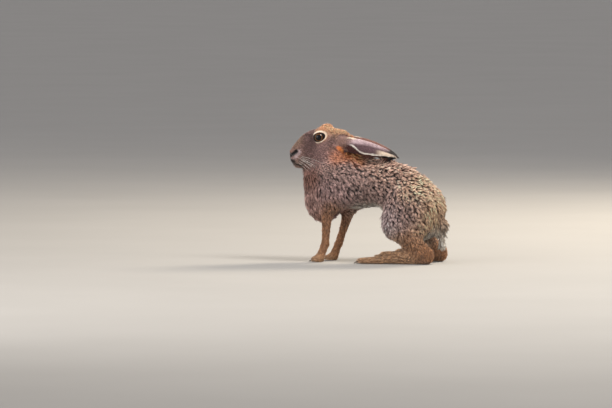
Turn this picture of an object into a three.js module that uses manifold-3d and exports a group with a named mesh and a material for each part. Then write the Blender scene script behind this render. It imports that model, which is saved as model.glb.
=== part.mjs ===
// A still, life-size brown hare, sitting half raised with its ears laid back.
// Millimetres. +X is the hare's left, -Y is where it looks, +Z is up, and the floor is z = 0.
// The flesh is one smooth field of named masses, skinned once for each body part and parted by thin cuts.
import * as THREE from "three";
import { mergeVertices } from "three/addons/utils/BufferGeometryUtils.js";
import Module from "manifold-3d";

const wasm = await Module();
wasm.setup();

// Driving dimensions
const HEAD_LENGTH = 118; // nose tip to the back of the skull, in the coat
const HEAD_PITCH = 10.4; // degrees, nose below the crown
const HEAD_ROLL = 8; // degrees, crown leaning to the hare's left
const SKULL_BACK = new THREE.Vector3(0, -42, 211); // where the head's axis meets the nape
const EYE_RADIUS = 10.6;
const EAR_RADIUS = 16.6; // of the rolled ear where it is fullest
const EAR_ROOT_WALL = 3.4;
const EAR_TIP_WALL = 2;
const BREAST_Y = -133; // front of the breast
const RUMP_Y = 131; // back of the rump
const BACK_Z = 180; // top of the back under the ear tips
const BRISKET_Z = 66; // underside of the breast, between the front legs
const HAUNCH_X = 66; // outer face of each thigh
const HIND_FOOT_LENGTH = 138; // heel to claws
const CUT = 0.35; // width of the gap between neighbours
const SEAT = 1.2; // width of the gap round the root of an ear or the tail
const SLIVER = 0.05; // corners nearer than this are one
const FLOOR = 0;

// Size of the grid's cells for each part's faceted skin
const CELL = {
  head: 6.6, neck: 11, trunk: 14, foreleg: 8.5, forepaw: 6, haunch: 11.5, hindFoot: 7.5, tail: 7,
  earSeat: 9, tailSeat: 12,
};

const LEFT = 1;
const RIGHT = -1;

// Turns an [x, y, z] list into a vector.
function at(x, y, z) {
  return new THREE.Vector3(x, y, z);
}

// An egg-shaped mass. Tilt turns it about X, nose end up for positive values, and toe turns it about Z.
function mass(centre, radii, tilt = 0, toe = 0) {
  const turn = new THREE.Euler(
    THREE.MathUtils.degToRad(-tilt), 0, THREE.MathUtils.degToRad(toe), "ZYX",
  );
  const back = new THREE.Matrix4().makeRotationFromEuler(turn).invert();
  const local = new THREE.Vector3();
  return (p) => {
    local.copy(p).sub(centre).applyMatrix4(back);
    const k0 = Math.hypot(local.x / radii[0], local.y / radii[1], local.z / radii[2]);
    const k1 = Math.hypot(local.x / radii[0] ** 2, local.y / radii[1] ** 2, local.z / radii[2] ** 2);
    return k1 < 1e-9 ? -Math.min(...radii) : (k0 * (k0 - 1)) / k1;
  };
}

// A limb between two points, with a radius at each end.
function limb(from, to, radiusFrom, radiusTo) {
  const along = to.clone().sub(from);
  const step = along.lengthSq();
  const offset = new THREE.Vector3();
  return (p) => {
    offset.copy(p).sub(from);
    const t = THREE.MathUtils.clamp(offset.dot(along) / step, 0, 1);
    return offset.addScaledVector(along, -t).length() - THREE.MathUtils.lerp(radiusFrom, radiusTo, t);
  };
}

// Joins two distances with a soft fillet of the given width.
function soften(a, b, width) {
  const h = Math.max(width - Math.abs(a - b), 0) / width;
  return Math.min(a, b) - (h * h * width) / 4;
}

// A field that joins several masses softly.
function blend(masses, width) {
  return (p) => masses.reduce((sum, one) => soften(sum, one(p), width), 1e3);
}

// The head's own frame: x to the left, y from the skull's back to the nose, z up.
const headFrame = new THREE.Matrix4()
  .makeTranslation(SKULL_BACK)
  .multiply(new THREE.Matrix4().makeRotationX(THREE.MathUtils.degToRad(HEAD_PITCH)))
  .multiply(new THREE.Matrix4().makeRotationY(THREE.MathUtils.degToRad(HEAD_ROLL)));
const headInverse = headFrame.clone().invert();

// A point given as left, forward and up in the head.
function inHead(left, forward, up) {
  return at(left, -forward, up).applyMatrix4(headFrame);
}

// The field of a head part, whose masses are given in the head's frame.
function headField(masses, width) {
  const field = blend(masses, width);
  const local = new THREE.Vector3();
  return (p) => field(local.copy(p).applyMatrix4(headInverse));
}

// An egg in the head's frame, from left, forward and up.
function headMass(left, forward, up, radii, tilt = 0, toe = 0) {
  return mass(at(left, -forward, up), radii, tilt, toe);
}

const EYE = { left: 20.5, forward: 50.5, up: 20 };

const head = headField(
  [
    headMass(0, 34, 0, [27, 36, 28.5]), // cranium
    headMass(0, 62, 4, [19, 43, 29.5], -5), // forehead and nose ridge
    headMass(0, HEAD_LENGTH - 26, -5, [16.5, 25, 20]), // muzzle
    headMass(0, HEAD_LENGTH - 22, -24, [9.5, 15, 8]), // chin
    headMass(0, 48, -14, [23, 38, 22]), // jaw
    ...[LEFT, RIGHT].flatMap((side) => [
      headMass(side * 14, 40, -11, [16, 30, 23], 0, side * -8), // cheek
      headMass(side * 8, HEAD_LENGTH - 18, -13, [10.5, 14, 11]), // whisker pad
      headMass(side * 17, 45, 29, [9, 12, 9], 4, side * -10), // brow
    ]),
  ],
  9,
);

const frontLegs = [
  { elbow: at(34, -75, 112), wrist: at(29, -82, 33), toes: at(28, -103, 5) },
  { elbow: at(-34, -50, 112), wrist: at(-29, -74, 33), toes: at(-28, -95, 5) },
];

const trunkMasses = [
  mass(at(0, -50, 137), [44, 70, 46], 8), // ribcage
  mass(at(0, BREAST_Y + 38, BRISKET_Z + 52), [32, 35, 52]), // breast
  mass(at(0, BREAST_Y + 46, 150), [32, 40, 28]), // throat
  mass(at(0, -50, 166), [34, 46, 27], 16), // nape
  mass(at(0, 20, BACK_Z - 44), [46, 70, 41], 5), // loin
  mass(at(0, RUMP_Y - 68, 100), [47, 47, 54], 24), // croup
  mass(at(0, RUMP_Y - 43, 80), [38, 37, 40]), // seat
  ...[LEFT, RIGHT].flatMap((side) => [
    mass(at(side * 29, -66, 134), [21, 34, 42], -14), // shoulder
  ]),
];

const haunchMasses = [LEFT, RIGHT].flatMap((side) => [
  mass(at(side * (HAUNCH_X - 25), RUMP_Y - 58, 88), [25, 44, 50], 28), // thigh
  mass(at(side * 48, 46, 74), [17, 19, 22], 20), // knee
  limb(at(side * 48, 50, 62), at(side * 44, 103, 20), 17, 15), // shank
]);

const frontLegMasses = frontLegs.flatMap(({ elbow, wrist }) => [
  limb(elbow, wrist, 14, 7.2),
  mass(elbow.clone().add(at(0, 2, 8)), [16, 20, 26], -12), // elbow
]);

// The toes of a foot, fanned from its middle.
function toeMasses(root, tip, count, spread, radius) {
  return Array.from({ length: count }, (_, i) => {
    const share = i - (count - 1) / 2;
    const reach = 1 - 0.09 * share * share;
    const from = root.clone().add(at(share * spread * 0.55, 0, 0));
    const end = root.clone().lerp(tip, reach).add(at(share * spread, 0, 0));
    return limb(from, end, radius, radius * 0.82);
  });
}

const forePawMasses = frontLegs.flatMap(({ wrist, toes }) => [
  limb(wrist, wrist.clone().lerp(toes, 0.45).setZ(9), 7.2, 9.5),
  ...toeMasses(wrist.clone().lerp(toes, 0.5).setZ(5.5), toes, 4, 5.6, 6.6),
]);

const HEEL_Y = 118;
const hindFootMasses = [LEFT, RIGHT].flatMap((side) => {
  const heel = at(side * 43, HEEL_Y - 12, 12.5);
  const toes = at(side * 52, HEEL_Y - HIND_FOOT_LENGTH + 6, 4.5);
  const ball = heel.clone().lerp(toes, 0.62);
  return [
    limb(heel, ball.clone().setZ(11), 14, 12.5),
    ...toeMasses(ball.clone().setZ(6.5), toes, 4, 6.6, 7.6),
  ];
});

const body = blend([...trunkMasses, ...haunchMasses, ...frontLegMasses], 16);
const feet = blend([...forePawMasses, ...hindFootMasses], 5);

// The whole hare without ears, eyes and tail.
function flesh(p) {
  return soften(soften(body(p), head(p), 10), feet(p), 8);
}

// The slope of a field at a point, by small steps.
function slope(field, p, step = 0.2) {
  const probe = new THREE.Vector3();
  const rise = (axis) => {
    probe.copy(p)[axis] += step;
    const ahead = field(probe);
    probe.copy(p)[axis] -= step;
    return (ahead - field(probe)) / (2 * step);
  };
  return at(rise("x"), rise("y"), rise("z"));
}

// A closed mesh where a field is zero inside a box, one vertex for each crossed cell of the grid.
function skinOf(field, box, cell) {
  const size = box.getSize(new THREE.Vector3());
  const counts = ["x", "y", "z"].map((axis) => Math.ceil(size[axis] / cell) + 3);
  const [nx, ny, nz] = counts;
  const origin = box.min.clone().subScalar(cell);
  const bounded = (p) => Math.max(field(p), -depthInside(box, p));
  const index = (i, j, k) => (k * ny + j) * nx + i;
  const values = new Float32Array(nx * ny * nz);
  const p = new THREE.Vector3();
  for (let k = 0; k < nz; k++)
    for (let j = 0; j < ny; j++)
      for (let i = 0; i < nx; i++) {
        p.set(i, j, k).multiplyScalar(cell).add(origin);
        values[index(i, j, k)] = bounded(p);
      }
  const vertexOf = new Map();
  const positions = [];
  const corners = [0, 1, 2, 3, 4, 5, 6, 7].map((c) => [c & 1, (c >> 1) & 1, c >> 2]);
  const edges = corners.flatMap((a, m) =>
    [1, 2, 4].filter((bit) => !(m & bit)).map((bit) => [m, m | bit]),
  );
  const vertex = (i, j, k) => {
    const key = index(i, j, k);
    if (vertexOf.has(key)) return vertexOf.get(key);
    const sum = new THREE.Vector3();
    let crossings = 0;
    for (const [m, n] of edges) {
      const [a, b] = [corners[m], corners[n]];
      const va = values[index(i + a[0], j + a[1], k + a[2])];
      const vb = values[index(i + b[0], j + b[1], k + b[2])];
      if (va < 0 === vb < 0) continue;
      const t = va / (va - vb);
      sum.add(at(i + a[0] + t * (b[0] - a[0]), j + a[1] + t * (b[1] - a[1]), k + a[2] + t * (b[2] - a[2])));
      crossings++;
    }
    const place = sum.divideScalar(crossings).multiplyScalar(cell).add(origin);
    for (let pass = 0; pass < 2; pass++) {
      const value = bounded(place);
      const rise = slope(bounded, place);
      const move = THREE.MathUtils.clamp(value / Math.max(rise.lengthSq(), 0.3), -cell / 4, cell / 4);
      place.addScaledVector(rise, -move);
    }
    positions.push(place.x, place.y, place.z);
    vertexOf.set(key, positions.length / 3 - 1);
    return positions.length / 3 - 1;
  };
  const triangles = [];
  const axes = [[1, 0, 0], [0, 1, 0], [0, 0, 1]];
  for (let k = 1; k < nz - 1; k++)
    for (let j = 1; j < ny - 1; j++)
      for (let i = 1; i < nx - 1; i++)
        axes.forEach((axis, n) => {
          const here = values[index(i, j, k)];
          const there = values[index(i + axis[0], j + axis[1], k + axis[2])];
          if (here < 0 === there < 0) return;
          const u = axes[(n + 1) % 3];
          const v = axes[(n + 2) % 3];
          const around = [[0, 0], [1, 0], [1, 1], [0, 1]].map(([s, t]) =>
            vertex(i - s * u[0] - t * v[0], j - s * u[1] - t * v[1], k - s * u[2] - t * v[2]),
          );
          if (here >= 0) around.reverse();
          triangles.push(around[0], around[1], around[2], around[0], around[2], around[3]);
        });
  return solid(positions, triangles);
}

// How far inside a box a point is.
function depthInside(box, p) {
  return Math.min(
    p.x - box.min.x, box.max.x - p.x, p.y - box.min.y,
    box.max.y - p.y, p.z - box.min.z, box.max.z - p.z,
  );
}

// A solid from plain lists of coordinates and corners.
function solid(positions, triangles) {
  return new wasm.Manifold(
    new wasm.Mesh({
      numProp: 3,
      vertProperties: new Float32Array(positions),
      triVerts: new Uint32Array(triangles),
    }),
  );
}

// A solid from a closed three.js geometry.
function solidOf(geometry, matrix = new THREE.Matrix4()) {
  const bare = geometry.clone().applyMatrix4(matrix);
  bare.deleteAttribute("normal");
  bare.deleteAttribute("uv");
  const merged = mergeVertices(bare, 1e-3);
  return solid(merged.attributes.position.array, merged.index.array);
}

// Everything beyond a plane, as a very large block whose face is the plane.
function halfSpace(point, normal, shift = 0) {
  const reach = 700;
  const unit = normal.clone().normalize();
  const turn = new THREE.Quaternion().setFromUnitVectors(at(0, 0, 1), unit);
  const centre = point.clone().addScaledVector(unit, reach / 2 + shift);
  return solidOf(
    new THREE.BoxGeometry(reach, reach, reach),
    new THREE.Matrix4().compose(centre, turn, at(1, 1, 1)),
  );
}

// A block between two corners, grown by a margin.
function block(low, high, margin = 0) {
  const size = high.clone().sub(low).addScalar(2 * margin);
  const centre = low.clone().add(high).multiplyScalar(0.5);
  return solidOf(
    new THREE.BoxGeometry(size.x, size.y, size.z),
    new THREE.Matrix4().makeTranslation(centre),
  );
}

// A box from its lowest and highest coordinates.
function boxOf(lowX, lowY, lowZ, highX, highY, highZ) {
  return new THREE.Box3(at(lowX, lowY, lowZ), at(highX, highY, highZ));
}

// Planes and blocks where the parts meet
const jawCut = { point: at(0, -140, 158), normal: at(0, -0.12, 0.993) };
const napeCut = { point: at(0, -84, 168), normal: at(0, -0.776, 0.63) };
const neckCut = { point: at(0, -75, 152), normal: at(0, -0.46, 0.886) };
const WRIST_Z = 34;
const ELBOW_Z = 98;
const HOCK_Z = 27;

const beyond = ({ point, normal }, shift = 0) => halfSpace(point, normal, shift);
const before = ({ point, normal }, shift = 0) => halfSpace(point, normal.clone().negate(), shift);
const above = (z) => halfSpace(at(0, 0, z), at(0, 0, 1));
const below = (z) => halfSpace(at(0, 0, z), at(0, 0, -1));

// The space of the head, in front of the nape and above the throat.
const headSpace = (margin) => beyond(jawCut, -margin).intersect(beyond(napeCut, -margin));

// The space of a front leg below the chest.
const frontLegSpace = (which, margin) =>
  block(at(which === LEFT ? 10 : -60, -128, -20), at(which === LEFT ? 60 : -10, -24, ELBOW_Z), margin);

// The space of a thigh and its shank.
const haunchSpace = (which, margin) => {
  const round = new THREE.SphereGeometry(1, 16, 10);
  const place = new THREE.Matrix4()
    .makeTranslation(which * 76, 72, 70)
    .scale(at(47 + margin, 60 + margin, 66 + margin));
  const shank = block(at(which === LEFT ? 26 : -100, 8, -20), at(which === LEFT ? 100 : -26, 150, 50), margin);
  return solidOf(round, place).add(shank);
};

const eyeBall = (which, margin = 0) =>
  solidOf(
    new THREE.SphereGeometry(EYE_RADIUS + margin, 14, 8),
    new THREE.Matrix4().makeTranslation(inHead(which * EYE.left, EYE.forward, EYE.up)),
  );

// A box that reaches from the midline outwards on one side.
const sideBox = (which, near, far, lowY, highY, lowZ, highZ) =>
  boxOf(which === LEFT ? near : -far, lowY, lowZ, which === LEFT ? far : -near, highY, highZ);

const headSolid = skinOf(flesh, boxOf(-50, -175, 130, 50, -20, 262), CELL.head)
  .intersect(headSpace(-CUT / 2))
  .subtract(eyeBall(LEFT, CUT))
  .subtract(eyeBall(RIGHT, CUT));

const neckSolid = skinOf(flesh, boxOf(-60, -150, 90, 60, 30, 240), CELL.neck)
  .subtract(headSpace(CUT / 2))
  .intersect(beyond(neckCut, CUT / 2));

const trunkSolid = skinOf((p) => soften(body(p), head(p), 10), boxOf(-80, -150, 10, 80, 150, 240), CELL.trunk)
  .intersect(before(neckCut, CUT / 2))
  .intersect(above(HOCK_Z + CUT / 2))
  .subtract(frontLegSpace(LEFT, CUT / 2))
  .subtract(frontLegSpace(RIGHT, CUT / 2))
  .subtract(haunchSpace(LEFT, CUT / 2))
  .subtract(haunchSpace(RIGHT, CUT / 2));

const legSolid = (which) =>
  skinOf(flesh, sideBox(which, 2, 70, -136, -16, 20, 112), CELL.foreleg)
    .intersect(frontLegSpace(which, -CUT / 2))
    .intersect(above(WRIST_Z + CUT / 2));

const pawSolid = (which) =>
  skinOf(flesh, sideBox(which, 2, 70, -140, -40, -14, 44), CELL.forepaw)
    .intersect(below(WRIST_Z - CUT / 2))
    .intersect(above(FLOOR));

const haunchSolid = (which) =>
  skinOf(flesh, sideBox(which, 10, 90, 0, 150, 15, 150), CELL.haunch)
    .intersect(haunchSpace(which, -CUT / 2))
    .intersect(above(HOCK_Z + CUT / 2));

const hindFootSolid = (which) =>
  skinOf(flesh, sideBox(which, 16, 90, -34, 150, -14, 38), CELL.hindFoot)
    .intersect(below(HOCK_Z - CUT / 2))
    .intersect(above(FLOOR));

// The tail hangs against the rump.
const tailField = blend(
  [
    limb(at(0, 106, 92), at(0, 120, 68), 9, 12),
    limb(at(0, 120, 68), at(0, 121, 34), 12, 8),
  ],
  10,
);
const tailSolid = largest(
  skinOf(tailField, boxOf(-20, 90, 10, 20, 160, 120), CELL.tail)
    .subtract(skinOf((p) => flesh(p) - SEAT, boxOf(-60, 50, 0, 60, 150, 160), CELL.tailSeat)),
);

// The largest body of a solid that a cut has divided.
function largest(made) {
  return made.decompose().sort((a, b) => b.volume() - a.volume())[0];
}

// An ear is a rolled leaf that opens down and outwards, along a curve from its root to its tip.
function earSolid(which, path, turn) {
  const curve = new THREE.CatmullRomCurve3(path);
  const rings = 12;
  const columns = 8;
  const outer = [];
  const inner = [];
  for (let i = 0; i <= rings; i++) {
    const s = i / rings;
    const spine = curve.getPointAt(s);
    const along = curve.getTangentAt(s);
    const roll = THREE.MathUtils.degToRad(turn(s));
    const sideways = at(which, 0, 0).addScaledVector(along, -along.x * which).normalize();
    const lift = new THREE.Vector3().crossVectors(sideways, along).multiplyScalar(which).normalize();
    if (lift.z < 0) lift.negate();
    const radius = earRadius(s);
    const wall = THREE.MathUtils.lerp(EAR_ROOT_WALL, EAR_TIP_WALL, s);
    const spread = THREE.MathUtils.degToRad(THREE.MathUtils.lerp(136, 128, s));
    for (let j = 0; j <= columns; j++) {
      const angle = roll + spread * ((2 * j) / columns - 1);
      const out = lift.clone().multiplyScalar(Math.cos(angle)).addScaledVector(sideways, Math.sin(angle));
      outer.push(spine.clone().addScaledVector(out, radius));
      inner.push(spine.clone().addScaledVector(out, Math.max(radius - wall, 0.35 * radius)));
    }
  }
  const points = [...outer, ...inner];
  const width = columns + 1;
  const half = outer.length;
  const triangles = [];
  const quad = (a, b, c, d) => triangles.push(a, b, c, a, c, d);
  for (let i = 0; i < rings; i++)
    for (let j = 0; j < columns; j++) {
      const a = i * width + j;
      quad(a, a + 1, a + 1 + width, a + width);
      quad(half + a, half + a + width, half + a + 1 + width, half + a + 1);
    }
  for (let i = 0; i < rings; i++) {
    const a = i * width;
    const b = a + columns;
    quad(a, a + width, half + a + width, half + a);
    quad(b, half + b, half + b + width, b + width);
  }
  for (let j = 0; j < columns; j++) {
    const last = rings * width + j;
    quad(j, half + j, half + j + 1, j + 1);
    quad(last, last + 1, half + last + 1, half + last);
  }
  const flat = points.flatMap((p) => [p.x, p.y, p.z]);
  const made = solid(flat, triangles);
  const facing = made.volume() < 0 ? solid(flat, flip(triangles)) : made;
  const grown = skinOf((p) => flesh(p) - SEAT, boxOf(-50, -90, 150, 50, 70, 250), CELL.earSeat);
  return largest(facing.subtract(grown));
}

// The same triangles, facing the other way.
function flip(triangles) {
  return triangles.map((_, n) => triangles[n - (n % 3) + [0, 2, 1][n % 3]]);
}

// The ear's radius from root to tip.
function earRadius(s) {
  const tip = 1.2;
  return tip + (EAR_RADIUS - tip) * Math.sin(Math.PI * (0.2 + 0.8 * s) ** 0.9) ** 0.7;
}

// The ear's opening faces down at the root and turns outwards towards the tip.
const earTurn = (s) => THREE.MathUtils.lerp(10, -30, s);
const leftEarPath = [
  at(14, -62, 208), at(17, -37, 202), at(17.5, -13, 197), at(16.5, 13, 191), at(14, 32, 186), at(11, 50, 181),
];
const rightEarPath = [
  at(-14, -64, 208), at(-17, -40, 203), at(-17, -18, 198), at(-16, 6, 192), at(-14, 24, 187), at(-11, 41, 181),
];
const earLeft = earSolid(LEFT, leftEarPath, earTurn);
const earRight = earSolid(RIGHT, rightEarPath, earTurn);

// The triangles whose three corners are still apart.
function fullTriangles(corners) {
  return corners.filter((_, n) => {
    const [a, b, c] = corners.slice(n - (n % 3), n - (n % 3) + 3);
    return a !== b && b !== c && c !== a;
  });
}

// A named mesh of one body part.
function part(name, made, colour, roughness = 0.85) {
  const mesh = made.getMesh();
  const cut = new THREE.BufferGeometry();
  cut.setAttribute("position", new THREE.BufferAttribute(mesh.vertProperties, 3));
  cut.setIndex(new THREE.BufferAttribute(mesh.triVerts, 1));
  const geometry = mergeVertices(cut, SLIVER);
  geometry.setIndex(fullTriangles(Array.from(geometry.index.array)));
  geometry.computeVertexNormals();
  const result = new THREE.Mesh(
    geometry,
    new THREE.MeshStandardMaterial({ color: colour, roughness, metalness: 0 }),
  );
  result.name = name;
  return result;
}

const COAT = 0x8a6f55;
const GREY_COAT = 0x7d6c60;
const EAR_COAT = 0x85766b;
const TAIL_COAT = 0xd9d2c6;
const EYE_COLOUR = 0x3a2412;

const hare = new THREE.Group();
hare.add(
  part("head", headSolid, COAT),
  part("neck", neckSolid, COAT),
  part("trunk", trunkSolid, COAT),
  part("tail", tailSolid, TAIL_COAT),
  part("ear_left", earLeft, EAR_COAT),
  part("ear_right", earRight, EAR_COAT),
  part("eye_left", eyeBall(LEFT), EYE_COLOUR, 0.05),
  part("eye_right", eyeBall(RIGHT), EYE_COLOUR, 0.05),
  part("foreleg_left", legSolid(LEFT), COAT),
  part("foreleg_right", legSolid(RIGHT), COAT),
  part("forepaw_left", pawSolid(LEFT), COAT),
  part("forepaw_right", pawSolid(RIGHT), COAT),
  part("haunch_left", haunchSolid(LEFT), GREY_COAT),
  part("haunch_right", haunchSolid(RIGHT), GREY_COAT),
  part("hind_foot_left", hindFootSolid(LEFT), COAT),
  part("hind_foot_right", hindFootSolid(RIGHT), COAT),
);

// The origin is the middle of the underside of the whole animal's box.
const middle = new THREE.Box3().setFromObject(hare).getCenter(new THREE.Vector3());
hare.position.set(-middle.x, -middle.y, -FLOOR);

export default hare;
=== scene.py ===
"""A still, life-size brown hare with its ears laid back: one skin, dressed in tufts of fur."""
import logging
import math
from dataclasses import dataclass, field
from enum import Enum

import bpy
import numpy as np
from mathutils import Matrix, Vector
from mathutils.kdtree import KDTree


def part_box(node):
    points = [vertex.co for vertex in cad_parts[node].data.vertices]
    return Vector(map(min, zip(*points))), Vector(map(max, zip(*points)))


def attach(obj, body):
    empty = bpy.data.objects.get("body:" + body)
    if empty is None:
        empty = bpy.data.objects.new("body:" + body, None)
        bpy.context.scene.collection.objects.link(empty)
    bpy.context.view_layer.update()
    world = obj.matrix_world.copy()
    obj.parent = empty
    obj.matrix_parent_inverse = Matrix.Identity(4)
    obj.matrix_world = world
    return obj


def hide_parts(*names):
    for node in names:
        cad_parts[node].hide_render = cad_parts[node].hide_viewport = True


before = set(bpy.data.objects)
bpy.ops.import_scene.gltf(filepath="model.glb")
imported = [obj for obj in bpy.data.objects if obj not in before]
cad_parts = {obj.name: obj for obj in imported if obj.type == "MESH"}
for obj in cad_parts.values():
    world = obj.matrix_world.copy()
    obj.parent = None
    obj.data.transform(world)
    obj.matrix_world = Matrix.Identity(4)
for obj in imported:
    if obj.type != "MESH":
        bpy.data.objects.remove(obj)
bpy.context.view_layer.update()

log = logging.getLogger("hare")

MM = 0.001
BODY = "root"
SEED = 20

Pair = tuple[float, float]
Triple = tuple[float, float, float]


class Side(Enum):
    """The hare's own left and right, as the sign of X."""

    LEFT = 1
    RIGHT = -1


# Numbers and arrays


def smooth(low: float, high: float, value: np.ndarray) -> np.ndarray:
    """A soft step.

    Args:
        low: The value where the step starts.
        high: The value where the step ends.
        value: The values to step.

    Returns:
        0 below low, 1 above high and a smooth curve between them.
    """
    t = np.clip((value - low) / (high - low), 0.0, 1.0)
    return t * t * (3.0 - 2.0 * t)


def unit(rows: np.ndarray) -> np.ndarray:
    """Rows of vectors, each scaled to length 1."""
    length = np.linalg.norm(rows, axis=-1, keepdims=True)
    return rows / np.maximum(length, 1e-12)


def ripple(points: np.ndarray, scale: float, seed: int) -> np.ndarray:
    """A smooth pattern of lumps in space.

    Args:
        points: Rows of points, in metres.
        scale: The width of a lump, in metres.
        seed: The seed that the pattern is drawn from.

    Returns:
        One value for each point, mostly between -1 and 1.
    """
    rng = np.random.default_rng(seed)
    total = np.zeros(len(points))
    waves = 7
    slowest, fastest = 0.6, 1.5
    height = math.sqrt(waves / 1.2)
    for _ in range(waves):
        direction = unit(rng.normal(size=3))
        pace = rng.uniform(slowest, fastest)
        phase = rng.uniform(0, math.tau)
        total += np.sin(points @ direction * (math.tau / scale) * pace + phase)
    return total / height


def srgb(red: int, green: int, blue: int) -> Triple:
    """A colour as light, from its screen values.

    Args:
        red: The red, from 0 to 255.
        green: The green, from 0 to 255.
        blue: The blue, from 0 to 255.

    Returns:
        The three parts of the light, from 0 to 1.
    """
    screen = np.array((red, green, blue)) / 255.0
    light = np.where(screen <= 0.04045, screen / 12.92, ((screen + 0.055) / 1.055) ** 2.4)
    return tuple(float(x) for x in light)


def paint(red: int, green: int, blue: int) -> tuple[float, ...]:
    """A material's colour, from its screen values of 0 to 255."""
    return (*srgb(red, green, blue), 1.0)


# The frame


def middle(node: str) -> Vector:
    """The middle of a node's box."""
    low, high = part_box(node)
    return (low + high) / 2


@dataclass(frozen=True)
class HeadFrame:
    """The head's own axes, in millimetres: x to the hare's left, y from the nose to the nape, z up."""

    pitch: float = 10.4
    roll: float = 8.0
    eye_left: float = 20.5
    eye_forward: float = 50.5
    eye_up: float = 20.0
    eye_radius: float = 10.6
    nape: Triple = (0.0, -42.0, 211.0)

    @property
    def turn(self) -> Matrix:
        """The head's turn from the body's axes.

        Returns:
            The turn, as a matrix.
        """
        pitch = Matrix.Rotation(math.radians(self.pitch), 3, "X")
        roll = Matrix.Rotation(math.radians(self.roll), 3, "Y")
        return pitch @ roll

    @property
    def origin(self) -> Vector:
        """The head's origin in the frame, found from the two eyes."""
        between = (middle("eye_left") + middle("eye_right")) / 2
        return between - self.turn @ Vector((0.0, -self.eye_forward, self.eye_up)) * MM

    @property
    def body_shift(self) -> Vector:
        """How far the body's own measures are moved to stand in the frame."""
        return self.origin - Vector(self.nape) * MM

    def local(self, points: np.ndarray) -> np.ndarray:
        """Points of the frame in the head's terms.

        Args:
            points: Rows of points of the frame.

        Returns:
            Left, forward and up in the head, in millimetres.
        """
        back = np.array(self.turn.inverted())
        own = (points - np.array(self.origin)) @ back.T / MM
        return own * np.array((1.0, -1.0, 1.0))

    def world(self, own: np.ndarray) -> np.ndarray:
        """Left, forward and up in the head, in millimetres, as points of the frame."""
        turned = (own * np.array((1.0, -1.0, 1.0))) @ np.array(self.turn).T
        return turned * MM + np.array(self.origin)

    def direction(self, own: np.ndarray) -> np.ndarray:
        """Left, forward and up directions in the head as directions of the frame."""
        return (own * np.array((1.0, -1.0, 1.0))) @ np.array(self.turn).T


HEAD = HeadFrame()


def body_points(points: np.ndarray) -> np.ndarray:
    """Points of the frame in the body's own measures, in millimetres."""
    return (points - np.array(HEAD.body_shift)) / MM


def frame_point(x: float, y: float, z: float) -> Vector:
    """A point of the body's own measures, in millimetres, in the frame."""
    return Vector((x, y, z)) * MM + HEAD.body_shift


@dataclass(frozen=True)
class EyePlace:
    """Where an eye sits in the head, and the opening between its lids, in millimetres."""

    side: Side
    half_length: float = 10.2
    half_height: float = 7.1
    lean: float = 9.0
    gaze: Pair = (-0.14, 0.08)
    front_share: float = 1.08
    rear_share: float = 0.96
    upper_share: float = 1.04
    lower_share: float = 0.94

    @property
    def centre(self) -> np.ndarray:
        """The globe's centre as left, forward and up in the head."""
        return np.array((self.side.value * HEAD.eye_left, HEAD.eye_forward, HEAD.eye_up))

    @property
    def axes(self) -> tuple[np.ndarray, np.ndarray, np.ndarray]:
        """The eye's own directions.

        Returns:
            Its outward, forward and upward directions in the head.
        """
        outward = unit(np.array((self.side.value * 1.0, *self.gaze)))
        lean = math.radians(self.lean)
        forward = np.array((0.0, math.cos(lean), -math.sin(lean)))
        forward = unit(forward - outward * (forward @ outward))
        upward = np.cross(outward, forward) * -self.side.value
        return outward, forward, upward * np.sign(upward[2])

    def measure(self, own: np.ndarray) -> tuple[np.ndarray, np.ndarray, np.ndarray]:
        """Where points of the head lie in the eye's own terms.

        Args:
            own: Points as left, forward and up in the head.

        Returns:
            The distance out along the axis, the distance from the globe's centre, and the place across
            the opening: 1 on the lids' edge, less inside and more outside.
        """
        outward, forward, upward = self.axes
        offset = own - self.centre
        along = offset @ forward
        across = offset @ upward
        reach = self.half_length * np.where(along > 0, self.front_share, self.rear_share)
        height = self.half_height * np.where(across > 0, self.upper_share, self.lower_share)
        opening = np.sqrt((along / reach) ** 2 + (across / height) ** 2)
        return offset @ outward, np.linalg.norm(offset, axis=1), opening


EYES = tuple(EyePlace(side) for side in Side)


# The coat's colours and lie


@dataclass(frozen=True)
class Tone:
    """The colours of a hair from its root to its tip, and the share of tufts with dark tips."""

    root: Triple
    band: Triple
    dark_share: float = 0.2


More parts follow.
